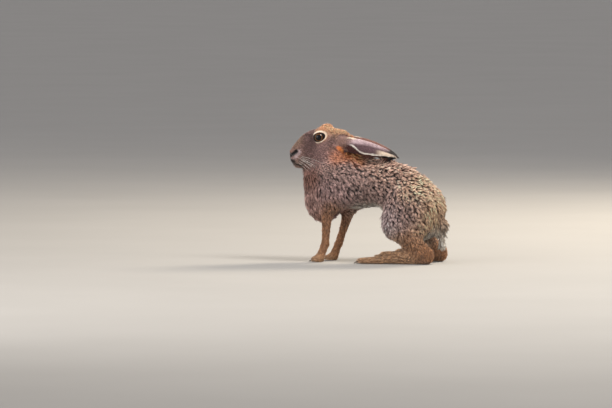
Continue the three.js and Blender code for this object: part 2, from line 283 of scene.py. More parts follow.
class Tones(Enum):
    """The named colourings of the coat, some of which are painted shade under and inside the ears."""

    BACK = Tone(srgb(40, 22, 20), srgb(238, 198, 180), 0.44)
    FLANK = Tone(srgb(42, 26, 26), srgb(206, 174, 166), 0.4)
    CROUP = Tone(srgb(64, 36, 28), srgb(255, 214, 186), 0.32)
    RUMP = Tone(srgb(104, 62, 44), srgb(255, 214, 178), 0.18)
    SHOULDER = Tone(srgb(74, 52, 50), srgb(208, 174, 172), 0.2)
    BREAST = Tone(srgb(92, 62, 58), srgb(224, 184, 176), 0.08)
    THROAT = Tone(srgb(70, 42, 34), srgb(176, 132, 118), 0.1)
    RUFOUS = Tone(srgb(240, 116, 50), srgb(255, 168, 104), 0.0)
    NAPE = Tone(srgb(186, 98, 52), srgb(255, 180, 128), 0.06)
    THIGH = Tone(srgb(104, 84, 88), srgb(236, 212, 212), 0.1)
    LEG = Tone(srgb(104, 68, 46), srgb(206, 152, 112), 0.08)
    PAW = Tone(srgb(116, 82, 58), srgb(214, 170, 130), 0.06)
    BELLY = Tone(srgb(178, 162, 146), srgb(240, 232, 220), 0.0)
    BRIDGE = Tone(srgb(52, 34, 32), srgb(166, 136, 118), 0.28)
    FOREHEAD = Tone(srgb(40, 24, 26), srgb(142, 112, 110), 0.4)
    FACE = Tone(srgb(50, 30, 30), srgb(150, 118, 114), 0.24)
    CHEEK = Tone(srgb(80, 54, 52), srgb(186, 150, 146), 0.14)
    CROWN = Tone(srgb(44, 24, 16), srgb(246, 192, 152), 0.5)
    BROW = Tone(srgb(92, 50, 32), srgb(226, 164, 124), 0.3)
    CHIN = Tone(srgb(110, 84, 76), srgb(206, 182, 170), 0.0)
    MUZZLE = Tone(srgb(74, 48, 42), srgb(170, 136, 126), 0.1)
    EAR = Tone(srgb(132, 108, 114), srgb(224, 200, 206), 0.16)
    # Painted shade for the ear's lower side, which curves under; the ear's own dark bars use it too.
    EAR_SHADE_AND_BARS = Tone(srgb(46, 32, 36), srgb(126, 98, 104), 0.2)
    EAR_FAR = Tone(srgb(84, 52, 46), srgb(150, 104, 92), 0.1)
    # Painted shade inside the rolled ear.
    EAR_INSIDE_SHADE = Tone(srgb(92, 66, 60), srgb(150, 118, 108), 0.0)
    EAR_ROOT = Tone(srgb(64, 42, 40), srgb(186, 152, 144), 0.24)
    # Painted shade for the back under the lying ear and for the ear's opening.
    HOLLOW_SHADE = Tone(srgb(44, 18, 20), srgb(78, 38, 34), 0.3)
    PALE = Tone(srgb(120, 96, 96), srgb(226, 206, 208), 0.0)
    CREAM = Tone(srgb(214, 184, 158), srgb(255, 240, 222), 0.0)
    BLACK = Tone(srgb(14, 11, 12), srgb(34, 28, 30), 0.5)
    WHITE = Tone(srgb(214, 204, 192), srgb(250, 247, 240), 0.0)


@dataclass(frozen=True)
class Site:
    """A named place of the coat. Its neighbours blend into it.

    Lengths are in millimetres, the lift in degrees, and the flow is the way the hair lies.
    """

    name: str
    place: Triple
    reach: float
    tone: Tones
    flow: Triple
    length: float
    width: float
    lift: float
    curl: float = 0.0


# Places of the body, in its own measures. The right side mirrors the left.
BODY_SITES = (
    Site("throat", (0, -128, 150), 18, Tones.THROAT, (0, -0.1, -1), 9, 0.8, 16),
    Site("throat side", (34, -112, 152), 18, Tones.THROAT, (0.1, 0.35, -1), 10, 0.9, 18),
    Site("breast", (0, -131, 112), 20, Tones.BREAST, (0, 0.05, -1), 12, 0.9, 16),
    Site("breast side", (34, -104, 112), 20, Tones.BREAST, (0, 0.3, -1), 12, 0.9, 16),
    Site("shoulder", (46, -62, 128), 24, Tones.SHOULDER, (0, 0.45, -0.9), 13, 1.0, 18, 0.2),
    Site("shoulder top", (40, -60, 162), 18, Tones.FLANK, (0, 0.8, -0.6), 13, 1.1, 24, 0.6),
    Site("neck side", (38, -84, 170), 12, Tones.FLANK, (0.1, 0.7, -0.7), 10, 1.0, 22, 0.4),
    Site("neck back", (37, -44, 166), 13, Tones.FLANK, (0.1, 0.8, -0.6), 12, 1.0, 24, 0.6),
    Site("ear root", (31, -53, 191), 11, Tones.RUFOUS, (0.1, 0.8, -0.5), 7, 0.8, 20, 0.2),
    Site("ear root low", (33, -66, 185), 11, Tones.RUFOUS, (0.1, 0.8, -0.5), 7, 0.8, 18, 0.2),
    Site("nape side", (27, -24, 186), 10, Tones.RUFOUS, (0.1, 0.9, -0.2), 13, 0.9, 44, 0.2),
    Site("withers side", (25, 2, 180), 9, Tones.NAPE, (0.1, 0.9, -0.1), 15, 1.0, 52, 0.3),
    Site("withers side rear", (24, 24, 176), 8, Tones.BACK, (0.1, 0.9, -0.2), 15, 1.1, 42, 0.5),
    # Painted shade: the back under the lying ear is darkened, and black under its tip.
    Site("under ear", (15, 12, 184), 8, Tones.HOLLOW_SHADE, (0, 1, -0.1), 12, 0.9, 40, 0.2),
    Site("under ear tip", (15, 34, 180), 6, Tones.BLACK, (0, 1, -0.1), 9, 0.9, 34, 0.2),
    Site("nape", (0, -34, 196), 16, Tones.NAPE, (0, 1, -0.2), 9, 0.9, 18, 0.2),
    Site("withers", (0, 4, 178), 22, Tones.BACK, (0, 1, -0.15), 13, 1.2, 28, 0.9),
    Site("back", (0, 46, 170), 26, Tones.BACK, (0, 1, -0.3), 14, 1.3, 30, 1.0),
    Site("back side", (34, 30, 158), 22, Tones.BACK, (0, 0.9, -0.6), 14, 1.3, 30, 1.0),
    Site("flank", (46, -16, 134), 24, Tones.FLANK, (0, 0.75, -0.75), 14, 1.2, 26, 0.8),
    Site("flank rear", (48, 24, 122), 22, Tones.FLANK, (0, 0.7, -0.8), 14, 1.2, 26, 0.8),
    Site("croup", (0, 92, 142), 26, Tones.CROUP, (0, 0.8, -0.75), 14, 1.3, 30, 1.0),
    Site("croup side", (42, 84, 128), 22, Tones.CROUP, (0.05, 0.7, -0.8), 14, 1.3, 28, 1.0),
    Site("rump", (0, 126, 96), 24, Tones.RUMP, (0, 0.1, -1), 13, 1.2, 20, 0.35),
    Site("rump side", (44, 112, 88), 22, Tones.RUMP, (0, 0.35, -1), 13, 1.2, 20, 0.35),
    Site("seat", (0, 116, 52), 18, Tones.BELLY, (0, 0.2, -1), 13, 1.2, 16, 0.2),
    Site("thigh", (66, 74, 88), 24, Tones.FLANK, (0, 0.6, -0.85), 13, 1.2, 24, 0.7),
    Site("thigh rear", (60, 100, 66), 17, Tones.RUMP, (0, 0.5, -0.9), 13, 1.2, 20, 0.3),
    Site("thigh front", (58, 36, 84), 20, Tones.THIGH, (0, 0.35, -0.95), 13, 1.0, 18, 0.3),
    Site("knee", (52, 32, 60), 16, Tones.THIGH, (0, 0.3, -1), 10, 0.9, 14, 0.1),
    Site("shank", (56, 84, 46), 18, Tones.LEG, (0, 0.5, -0.9), 9, 0.9, 14, 0.1),
    Site("heel", (43, 112, 16), 14, Tones.LEG, (0, -0.2, -1), 6, 0.8, 12),
    Site("hind foot", (47, 50, 24), 26, Tones.PAW, (0, -1, -0.1), 7, 0.8, 12),
    Site("hind toes", (52, -4, 12), 16, Tones.PAW, (0, -1, -0.3), 6, 0.7, 10),
    Site("flank low", (42, -14, 106), 15, Tones.FLANK, (0, 0.7, -0.7), 13, 1.1, 20, 0.5),
    Site("flank low rear", (40, 14, 102), 13, Tones.FLANK, (0, 0.7, -0.7), 13, 1.1, 20, 0.5),
    Site("belly", (0, -10, 92), 24, Tones.BELLY, (0, 1, 0), 13, 1.1, 14, 0.2),
    Site("groin", (0, 50, 86), 22, Tones.BELLY, (0, 1, -0.2), 13, 1.1, 14, 0.2),
    Site("brisket", (0, -84, 86), 20, Tones.BREAST, (0, 0.9, -0.4), 11, 1.0, 14, 0.1),
    Site("inner thigh", (30, 60, 50), 18, Tones.BELLY, (0, 0.4, -1), 9, 0.9, 12),
    Site("elbow", (42, -66, 100), 14, Tones.LEG, (0, 0.3, -1), 8, 0.9, 14, 0.1),
    Site("foreleg", (31, -82, 70), 20, Tones.LEG, (0, 0.1, -1), 6, 0.8, 10),
    Site("wrist", (29, -84, 34), 14, Tones.LEG, (0, -0.1, -1), 5, 0.7, 10),
    Site("forepaw", (28, -104, 10), 14, Tones.PAW, (0, -0.9, -0.4), 5, 0.7, 10),
    Site("tail root", (0, 118, 88), 12, Tones.BLACK, (0, 0.3, -1), 12, 1.0, 16, 0.2),
    Site("tail top", (0, 136, 58), 14, Tones.BLACK, (0, 0.1, -1), 14, 1.0, 16, 0.2),
    Site("tail side", (15, 118, 50), 9, Tones.WHITE, (0.1, 0.2, -1), 14, 1.0, 18, 0.2),
    Site("tail tip", (0, 124, 30), 9, Tones.WHITE, (0, 0.1, -1), 12, 1.0, 16, 0.2),
)

# Places of the head, as left, forward and up in it
HEAD_SITES = (
    Site("nose tip", (0, 116, 2), 7, Tones.MUZZLE, (0, -0.6, 0.8), 2.0, 0.45, 14),
    Site("nose bridge", (0, 98, 20), 13, Tones.BRIDGE, (0, -1, 0.35), 3.2, 0.5, 14),
    Site("muzzle", (15, 98, -4), 11, Tones.MUZZLE, (0.2, -1, 0), 3.2, 0.5, 14),
    Site("lip", (11, 103, -18), 7, Tones.CHIN, (0.2, -1, -0.4), 3.4, 0.5, 16),
    Site("chin", (0, 104, -30), 9, Tones.CHIN, (0, -0.8, -0.5), 4.0, 0.6, 20),
    Site("face", (19, 78, 4), 14, Tones.FACE, (0.15, -1, 0), 4.0, 0.55, 14),
    Site("forehead", (0, 74, 29), 12, Tones.FOREHEAD, (0, -1, 0.1), 4.2, 0.6, 16),
    Site("forehead side", (14, 72, 22), 10, Tones.FOREHEAD, (0.1, -1, 0.1), 4.0, 0.6, 16),
    Site("brow", (19, 48, 34), 9, Tones.BROW, (0.1, -1, 0.15), 3.6, 0.6, 20, 0.2),
    Site("crown", (0, 38, 27), 15, Tones.CROWN, (0, -1, 0), 5.2, 0.7, 20, 0.4),
    Site("crown rear", (12, 14, 22), 10, Tones.CROWN, (0, -1, 0), 6.0, 0.7, 20, 0.4),
    Site("behind eye", (27, 32, 12), 11, Tones.FACE, (0.1, -1, 0), 5.5, 0.65, 18, 0.1),
    Site("temple", (22, 12, 14), 11, Tones.EAR_ROOT, (0, -1, 0.1), 6.5, 0.7, 20, 0.2),
    Site("jaw corner", (27, 10, -14), 7, Tones.RUFOUS, (0.1, -0.9, -0.3), 6.0, 0.7, 18, 0.1),
    Site("cheek", (28, 52, -8), 16, Tones.CHEEK, (0.1, -1, -0.15), 5.0, 0.65, 16),
    Site("cheek rear", (30, 26, -14), 14, Tones.CHEEK, (0.1, -0.9, -0.4), 7.0, 0.75, 20, 0.1),
    Site("jaw", (18, 66, -30), 14, Tones.CHEEK, (0.1, -1, -0.3), 6.0, 0.7, 18),
    Site("gullet", (0, 62, -36), 14, Tones.CHIN, (0, -1, -0.3), 8.0, 0.8, 18),
)

# Places of the ears, in the body's own measures
EAR_SITES = (
    Site("ear back", (17, -20, 214), 13, Tones.EAR, (0, 1, -0.25), 3.8, 0.52, 8),
    Site("ear mid", (18, 10, 206), 13, Tones.EAR, (0, 1, -0.3), 3.8, 0.52, 8),
    # Painted shade on the ear's lower outer side, which curves under.
    Site("ear outer", (34, -8, 194), 10, Tones.EAR_SHADE_AND_BARS, (0, 1, -0.25), 3.8, 0.52, 8),
    Site("ear side", (27, 22, 188), 9, Tones.EAR_SHADE_AND_BARS, (0, 1, -0.3), 3.8, 0.52, 8),
    Site("ear tip", (12, 44, 183), 10, Tones.EAR, (0, 1, -0.5), 3.6, 0.52, 8),
    Site("ear base", (18, -48, 216), 10, Tones.EAR_ROOT, (0, 1, -0.1), 4.6, 0.5, 12),
)


@dataclass
class Lie:
    """What the coat is like at a set of points: arrays with one row for each point."""

    length: np.ndarray
    width: np.ndarray
    lift: np.ndarray
    curl: np.ndarray
    flow: np.ndarray
    root: np.ndarray
    band: np.ndarray
    dark_share: np.ndarray
    bare: np.ndarray


@dataclass(frozen=True)
class EyeMarks:
    """Soft steps of the markings round an eye, as places across its opening. Lengths are in millimetres."""

    bare_end: Pair = (1.12, 1.16)
    rim_end: Pair = (1.12, 1.2)
    ring_start: Pair = (1.14, 1.2)
    ring_end: Pair = (1.4, 1.64)
    corner_start: Pair = (1.36, 1.46)
    corner_back: Pair = (2.0, -3.0)
    corner_below: Pair = (2.0, -2.0)
    short_end: Pair = (1.7, 2.5)
    shorter: float = 0.55
    thinner: float = 0.3
    flatter: float = 0.4
    reach: float = 26.0


@dataclass(frozen=True)
class EarMarks:
    """Soft steps of an ear's markings and painted shade: shares of its length, degrees round it and
    millimetres of depth.
    """

    root_end: Pair = (0.2, 0.0)
    band_angle: Pair = (48.0, 72.0)
    band_start: Pair = (0.12, 0.3)
    streak_angle: float = 8.0
    streak_width: Pair = (22.0, 12.0)
    streak_start: Pair = (0.1, 0.14)
    streak_end: Pair = (0.28, 0.22)
    bars_start: Pair = (0.36, 0.46)
    bars_end: Pair = (0.8, 0.72)
    bars_top: Pair = (8.0, 30.0)
    bars_foot: Pair = (76.0, 62.0)
    bars_edge: Pair = (0.1, 0.9)
    bars_pace: float = 205.0
    bars_slant: float = 1.2
    bars_waver: Pair = (0.8, 61.0)
    bars_share: float = 0.55
    wedge_angle: Pair = (70.0, 84.0)
    wedge_start: Pair = (0.6, 0.72)
    tip_start: Pair = (0.74, 0.82)
    tip_angle: Pair = (80.0, 62.0)
    point_start: Pair = (0.95, 0.98)
    line_angle: float = 72.0
    line_turn: float = 46.0
    line_run: Pair = (0.22, 0.46)
    line_width: Pair = (6.0, 2.5)
    line_start: Pair = (0.2, 0.28)
    edge_angle: Pair = (113.0, 118.0)
    edge_start: Pair = (0.44, 0.48)
    edge_end: Pair = (0.96, 0.92)
    edge_depth: float = 2.4
    edge_shorter: float = 0.4
    hollow_width: float = 8.0
    hollow_start: Pair = (0.07, 0.12)
    hollow_end: Pair = (0.5, 0.42)
    patch_angle: Pair = (92.0, 108.0)
    patch_start: Pair = (0.0, 0.03)
    patch_end: Pair = (0.14, 0.1)
    inside_depth: Pair = (-1.4, -2.2)
    inside_angle: Pair = (128.0, 118.0)
    inside_dark: Pair = (0.66, 0.74)
    inside_shorter: float = 0.3


class CoatMap:
    """Blends the named sites into the coat's length, lie and colour at any point."""

    ear_barrier: float = 9.0
    eye_marks: EyeMarks = EyeMarks()
    ear_marks: EarMarks = EarMarks()

    def __init__(self) -> None:
        """Gathers the sites of both sides in the frame."""
        places, flows, rows, reaches, on_ear = [], [], [], [], []
        for sites, place_of, flow_of in (
            (BODY_SITES, self._body_place, self._body_flow),
            (EAR_SITES, self._body_place, self._body_flow),
            (HEAD_SITES, self._head_place, self._head_flow),
        ):
            for site in sites:
                for side in Side:
                    mirror = np.array((side.value, 1.0, 1.0))
                    places.append(place_of(np.array(site.place) * mirror))
                    flows.append(flow_of(np.array(site.flow) * mirror))
                    reaches.append(site.reach * MM)
                    on_ear.append(sites is EAR_SITES)
                    tone = site.tone.value
                    rows.append(
                        (site.length * MM, site.width * MM, math.radians(site.lift), site.curl)
                        + tone.root + tone.band + (tone.dark_share,)
                    )
        self.places = np.array(places)
        self.flows = unit(np.array(flows))
        self.rows = np.array(rows)
        self.reaches = np.array(reaches)
        self.on_ear = np.array(on_ear)

    @staticmethod
    def _body_place(own: np.ndarray) -> np.ndarray:
        """A place of the body in the frame."""
        return own * MM + np.array(HEAD.body_shift)

    @staticmethod
    def _body_flow(own: np.ndarray) -> np.ndarray:
        """A direction of the body in the frame."""
        return own

    @staticmethod
    def _head_place(own: np.ndarray) -> np.ndarray:
        """A place of the head in the frame."""
        return HEAD.world(own)

    @staticmethod
    def _head_flow(own: np.ndarray) -> np.ndarray:
        """A direction of the head in the frame."""
        return HEAD.direction(own)

    def at(self, points: np.ndarray) -> Lie:
        """What the coat is like at some points.

        Args:
            points: Rows of points of the frame.

        Returns:
            The coat's lie there.
        """
        gap = np.linalg.norm(points[:, None, :] - self.places[None, :, :], axis=2) / self.reaches
        own = body_points(points)
        charts = [ear.chart(own) for ear in EARS]
        on_ear = (charts[0][2] < OFF_EAR) | (charts[1][2] < OFF_EAR)
        gap += self.ear_barrier * (on_ear[:, None] != self.on_ear[None, :])
        nearest = gap.min(axis=1, keepdims=True)
        weight = np.exp(-(gap**2 - nearest**2))
        weight /= weight.sum(axis=1, keepdims=True)
        row = weight @ self.rows
        lie = Lie(
            length=row[:, 0].copy(), width=row[:, 1], lift=row[:, 2], curl=row[:, 3],
            flow=unit(weight @ self.flows), root=row[:, 4:7].copy(), band=row[:, 7:10].copy(),
            dark_share=row[:, 10].copy(), bare=np.zeros(len(points)),
        )
        self._mark(points, lie)
        for ear, chart in zip(EARS, charts):
            self._mark_ear(chart, ear.ridge, lie)
        return lie

    def _mark(self, points: np.ndarray, lie: Lie) -> None:
        """Adds the markings that are finer than the sites: eye rings, nostrils and lips. The black in the
        nostril, philtrum and mouth cuts is painted shade.

        Args:
            points: Rows of points of the frame.
            lie: The coat's lie there, which is changed.
        """
        own = HEAD.local(points)
        marks = self.eye_marks
        for eye in EYES:
            out, distance, opening = eye.measure(own)
            near = (distance < marks.reach) & (out > -1.0)
            _, forward, upward = eye.axes
            offset = own - eye.centre
            ring = near * smooth(*marks.ring_start, opening) * (1.0 - smooth(*marks.ring_end, opening))
            corner = smooth(*marks.corner_start, opening) * smooth(*marks.corner_back, offset @ forward)
            corner = corner * smooth(*marks.corner_below, offset @ upward)
            self._tint(lie, ring * (1.0 - corner), Tones.CREAM)
            self._tint(lie, ring * corner, Tones.BROW)
            self._tint(lie, near * (1.0 - smooth(*marks.rim_end, opening)), Tones.BLACK)
            lie.bare[:] = np.maximum(lie.bare, near * (1.0 - smooth(*marks.bare_end, opening)))
            short = near * (1.0 - smooth(*marks.short_end, opening))
            lie.length *= 1.0 - marks.shorter * short
            lie.width *= 1.0 - marks.thinner * short
            lie.lift *= 1.0 - marks.flatter * short
        for mark in FACE_MARKS:
            strength = mark.strength(own)
            self._tint(lie, strength * mark.shade, mark.tone)
            lie.bare[:] = np.maximum(lie.bare, strength * mark.bare)

    def _mark_ear(
        self, chart: tuple[np.ndarray, np.ndarray, np.ndarray], ridge: Pair, lie: Lie
    ) -> None:
        """Adds an ear's bars, black tip, pale wedge and white edge, and its painted shade: a dark band on its
        lower side, a dark hollow and a dark inside.

        Args:
            chart: Where the points lie on the ear.
            ridge: The soft step round the ear, in degrees, past which its inner half starts.
            lie: The coat's lie at the points, which is changed.
        """
        s, angle, gap = chart
        marks = self.ear_marks
        near = (gap < OFF_EAR).astype(float)
        self._tint(lie, near * smooth(*marks.root_end, s), Tones.EAR_ROOT)
        # Painted shade: the ear's lower side, which curves under, is turned darker.
        band = near * smooth(*marks.band_angle, angle) * smooth(*marks.band_start, s)
        self._tint(lie, band, Tones.EAR_SHADE_AND_BARS)
        self._tint(lie, near * smooth(*ridge, angle), Tones.EAR_FAR)
        streak = near * smooth(*marks.streak_width, np.abs(angle - marks.streak_angle))
        streak = streak * smooth(*marks.streak_start, s) * smooth(*marks.streak_end, s)
        self._tint(lie, streak, Tones.CREAM)
        # The bars are the ear's own dark streaks, in the same tone as the painted shade.
        bars = near * smooth(*marks.bars_start, s) * smooth(*marks.bars_end, s)
        bars = bars * smooth(*marks.bars_top, angle) * smooth(*marks.bars_foot, angle)
        waver, waver_pace = marks.bars_waver
        wave = s * marks.bars_pace + np.radians(angle) * marks.bars_slant + waver * np.sin(s * waver_pace)
        bars *= smooth(*marks.bars_edge, np.sin(wave))
        self._tint(lie, bars * marks.bars_share, Tones.EAR_SHADE_AND_BARS)
        wedge = near * smooth(*marks.wedge_angle, angle) * smooth(*marks.wedge_start, s)
        self._tint(lie, wedge, Tones.CREAM)
        top_or_point = np.maximum(smooth(*marks.tip_angle, angle), smooth(*marks.point_start, s))
        self._tint(lie, near * smooth(*marks.tip_start, s) * top_or_point, Tones.BLACK)
        line = marks.line_angle + marks.line_turn * smooth(*marks.line_run, s)
        # Painted shade in the ear's opening, just past the white edge line.
        hollow = near * smooth(line, line + marks.hollow_width, angle)
        hollow = hollow * smooth(*marks.hollow_start, s) * smooth(*marks.hollow_end, s)
        self._tint(lie, hollow, Tones.HOLLOW_SHADE)
        patch = near * smooth(*marks.patch_angle, angle)
        patch = patch * smooth(*marks.patch_end, s) * smooth(*marks.patch_start, s)
        self._tint(lie, patch, Tones.RUFOUS)
        edge = near * smooth(*marks.line_width, np.abs(angle - line)) * smooth(*marks.line_start, s)
        edge = np.maximum(edge, near * smooth(*marks.edge_angle, angle) * smooth(*marks.edge_start, s))
        edge = edge * smooth(*marks.edge_end, s)
        edge *= np.abs(gap) < marks.edge_depth
        self._tint(lie, edge, Tones.WHITE)
        lie.length *= 1.0 - marks.edge_shorter * edge
        # Painted shade inside the rolled ear; the black towards the tip is the tip's own colour.
        inside = near * smooth(*marks.inside_depth, gap) * smooth(*marks.inside_angle, np.abs(angle))
        self._tint(lie, inside, Tones.EAR_INSIDE_SHADE)
        self._tint(lie, inside * smooth(*marks.inside_dark, s), Tones.BLACK)
        lie.length *= 1.0 - marks.inside_shorter * inside

    @staticmethod
    def _tint(lie: Lie, strength: np.ndarray, tone: Tones) -> None:
        """Turns the coat's colours towards a tone.

        Args:
            lie: The coat's lie, which is changed.
            strength: How far to turn each point's colours, from 0 to 1.
            tone: The tone to turn them towards.
        """
        share = strength[:, None]
        lie.root[:] = lie.root * (1.0 - share) + np.array(tone.value.root) * share
        lie.band[:] = lie.band * (1.0 - share) + np.array(tone.value.band) * share
        lie.dark_share[:] = lie.dark_share * (1.0 - strength) + tone.value.dark_share * strength


@dataclass(frozen=True)
class FaceMark:
    """A mark along a line on both sides of the face, in the head's own measures.

    The shade is how much it colours, bare is the share of tufts left out, and sideways is how much a gap
    across the face counts. The core and the fade are shares of the radius.
    """

    line: tuple[Triple, ...]
    radius: float
    tone: Tones
    shade: float = 1.0
    bare: float = 0.0
    sideways: float = 1.0
    core: float = 0.6
    fade: float = 1.25

    def strength(self, own: np.ndarray) -> np.ndarray:
        """How strongly the mark shows.

        Args:
            own: Points as left, forward and up in the head.

        Returns:
            A strength from 0 to 1 for each point.
        """
        squash = np.array((self.sideways, 1.0, 1.0))
        folded = own * squash
        folded[:, 0] = np.abs(folded[:, 0])
        gap = distance_to_line(folded, np.array(self.line) * squash)
        return 1.0 - smooth(self.radius * self.core, self.radius * self.fade, gap)


def distance_to_line(points: np.ndarray, line: tuple[Triple, ...]) -> np.ndarray:
    """How far points are from a line of straight steps.

    Args:
        points: Rows of points.
        line: The line's corners, in the same measures.

    Returns:
        One distance for each point.
    """
    corners = np.array(line, float)
    gaps = []
    for start, end in zip(corners[:-1], corners[1:]):
        along = end - start
        t = np.clip((points - start) @ along / (along @ along), 0.0, 1.0)
        gaps.append(np.linalg.norm(points - start - t[:, None] * along, axis=1))
    return np.min(gaps, axis=0)


# The gap, in millimetres, given to points that aren't on an ear
OFF_EAR = 99.0


@dataclass(frozen=True)
class EarShape:
    """A rolled ear along its curve, in the body's own measures, in millimetres and degrees.

    The ridge is the soft step round the ear past which its inner half starts.
    """

    side: Side
    path: tuple[Triple, ...]
    radius: float = 16.6
    tip_radius: float = 1.2
    turn: Pair = (10.0, -30.0)
    ridge: Pair = (-4.0, -32.0)
    rings: int = 41
    tangent_step: float = 0.05
    root_phase: float = 0.2
    phase_power: float = 0.9
    swell_power: float = 0.7
    length: float = 116.0
    depth: float = 5.5
    coat: float = 2.8
    rim_angle: float = 142.0
    overhang: float = 5.0
    lowest: float = 174.0

    def ring(self, s: float) -> tuple[np.ndarray, np.ndarray, np.ndarray, float]:
        """The ear's cross-section part of the way to the tip.

        Args:
            s: The share of the way from the root to the tip.

        Returns:
            Its middle, its sideways and upward directions, and its radius.
        """
        points = np.array(self.path, float)
        steps = np.linalg.norm(np.diff(points, axis=0), axis=1)
        reach = np.concatenate([[0.0], np.cumsum(steps)]) / steps.sum()
        spine = np.array([np.interp(s, reach, points[:, axis]) for axis in range(3)])
        later = min(s + self.tangent_step, 1.0)
        earlier = max(s - self.tangent_step, 0.0)
        ahead = np.array([np.interp(later, reach, points[:, axis]) for axis in range(3)])
        behind = np.array([np.interp(earlier, reach, points[:, axis]) for axis in range(3)])
        along = unit(ahead - behind)
        side = self.side.value
        sideways = unit(np.array((side, 0.0, 0.0)) - along * along[0] * side)
        lift = unit(np.cross(sideways, along) * side)
        lift *= np.sign(lift[2])
        phase = (self.root_phase + (1.0 - self.root_phase) * s) ** self.phase_power
        swell = math.sin(math.pi * phase) ** self.swell_power if s < 1.0 else 0.0
        return spine, sideways, lift, self.tip_radius + (self.radius - self.tip_radius) * swell

    def chart(self, own: np.ndarray) -> tuple[np.ndarray, np.ndarray, np.ndarray]:
        """Where points lie on the ear.

        Args:
            own: Points in the body's own measures.

        Returns:
            The share of the way to the tip, the angle round from the ridge (more towards the outer edge),
            and the distance out from the ear's outer face, which is large off the ear.
        """
        shares = np.linspace(0.0, 1.0, self.rings)
        rings = [self.ring(float(s)) for s in shares]
        spines = np.array([ring[0] for ring in rings])
        nearest = np.linalg.norm(own[:, None, :] - spines[None, :, :], axis=2).argmin(axis=1)
        offset = own - spines[nearest]
        sideways = np.array([ring[1] for ring in rings])[nearest]
        lift = np.array([ring[2] for ring in rings])[nearest]
        across = (offset * sideways).sum(axis=1)
        above = (offset * lift).sum(axis=1)
        along = np.cross(lift, sideways)
        beyond = (offset * along).sum(axis=1) * self.side.value
        s = np.clip(shares[nearest] + beyond / self.length, 0.0, 1.0)
        angle = np.degrees(np.arctan2(across, above)) - (self.turn[0] + (self.turn[1] - self.turn[0]) * s)
        angle = (angle + 180.0) % 360.0 - 180.0
        gap = np.hypot(across, above) - np.array([ring[3] for ring in rings])[nearest]
        on_ear = (gap > -self.depth) & (gap < self.coat) & (np.abs(angle) < self.rim_angle)
        on_ear &= (np.abs(beyond) < self.overhang) & (own[:, 2] > self.lowest)
        on_ear &= np.sign(own[:, 0]) == self.side.value
        return s, angle, np.where(on_ear, gap, OFF_EAR)


EARS = (
    EarShape(Side.LEFT, (
        (14, -62, 208), (17, -37, 202), (17.5, -13, 197), (16.5, 13, 191), (14, 32, 186), (11, 50, 181),
    )),
    EarShape(Side.RIGHT, (
        (-14, -64, 208), (-17, -40, 203), (-17, -18, 198), (-16, 6, 192), (-14, 24, 187), (-11, 41, 181),
    ), ridge=(46.0, 16.0)),
)

# Lines of the face's left side, as left, forward and up in the head
NOSTRIL = ((5.5, 114.5, -5.5), (9.5, 109.0, -4.5), (13.0, 103.5, -1.5), (14.5, 100.0, 1.0))
NOSTRIL_RIM = ((3.0, 117.0, -11.0), (9.5, 109.5, -11.5), (15.0, 101.5, -8.0), (16.5, 95.0, 1.0))
PHILTRUM = ((0.0, 118.0, -6.0), (0.0, 116.5, -15.0))
MOUTH = ((0.0, 113.0, -18.0), (6.0, 110.0, -18.5), (10.0, 106.0, -20.0), (12.0, 98.0, -24.0))
LIP = ((0.0, 116.0, -13.0), (5.5, 111.5, -13.5), (8.5, 107.5, -14.5))

# The black along the nostril, philtrum and mouth lines is painted shade in their cuts.
FACE_MARKS = (
    FaceMark(NOSTRIL_RIM, 4.2, Tones.PALE, 0.75),
    FaceMark(NOSTRIL, 4.6, Tones.BLACK, 1.0, 1.0),
    FaceMark(PHILTRUM, 1.6, Tones.BLACK, 0.9, 0.9),
    FaceMark(LIP, 4.0, Tones.BLACK, 0.95, 0.4, 0.3),
    FaceMark(MOUTH, 2.0, Tones.BLACK, 0.75, 0.2, 0.3),
)


# Modelling by operators


def alone(thing: bpy.types.Object) -> bpy.types.Object:
    """Makes an object the only one selected, and the active one.

    Args:
        thing: The object.

    Returns:
        The same object.
    """
    if bpy.context.object and bpy.context.object.mode != "OBJECT":
        bpy.ops.object.mode_set(mode="OBJECT")
    bpy.ops.object.select_all(action="DESELECT")
    thing.select_set(True)
    bpy.context.view_layer.objects.active = thing
    return thing


def finish_modifier(thing: bpy.types.Object, kind: str, **settings: object) -> None:
    """Adds a modifier to an object and applies it.

    Args:
        thing: The object.
        kind: The modifier's kind.
        settings: The modifier's own settings by name.
    """
    alone(thing)
    modifier = thing.modifiers.new(kind.title(), kind)
    for name, value in settings.items():
        setattr(modifier, name, value)
    bpy.ops.object.modifier_apply(modifier=modifier.name)


def points_of(thing: bpy.types.Object) -> np.ndarray:
    """The places of a mesh's points.

    Args:
        thing: The mesh's object.

    Returns:
        One row for each point, in metres.
    """
    flat = np.empty(len(thing.data.vertices) * 3, np.float32)
    thing.data.vertices.foreach_get("co", flat)
    return flat.reshape(-1, 3).astype(float)


def normals_of(thing: bpy.types.Object) -> np.ndarray:
    """The outward directions at a mesh's points.

    Args:
        thing: The mesh's object.

    Returns:
        One row of length 1 for each point.
    """
    flat = np.empty(len(thing.data.vertices) * 3, np.float32)
    thing.data.vertex_normals.foreach_get("vector", flat)
    return flat.reshape(-1, 3).astype(float)


def place_points(thing: bpy.types.Object, points: np.ndarray) -> None:
    """Moves a mesh's points."""
    thing.data.vertices.foreach_set("co", points.astype(np.float32).ravel())
    thing.data.update()


def write_number(mesh: bpy.types.Mesh, name: str, values: np.ndarray) -> None:
    """Gives each point of a mesh a named number."""
    layer = mesh.attributes.new(name, "FLOAT", "POINT")
    layer.data.foreach_set("value", values.astype(np.float32))


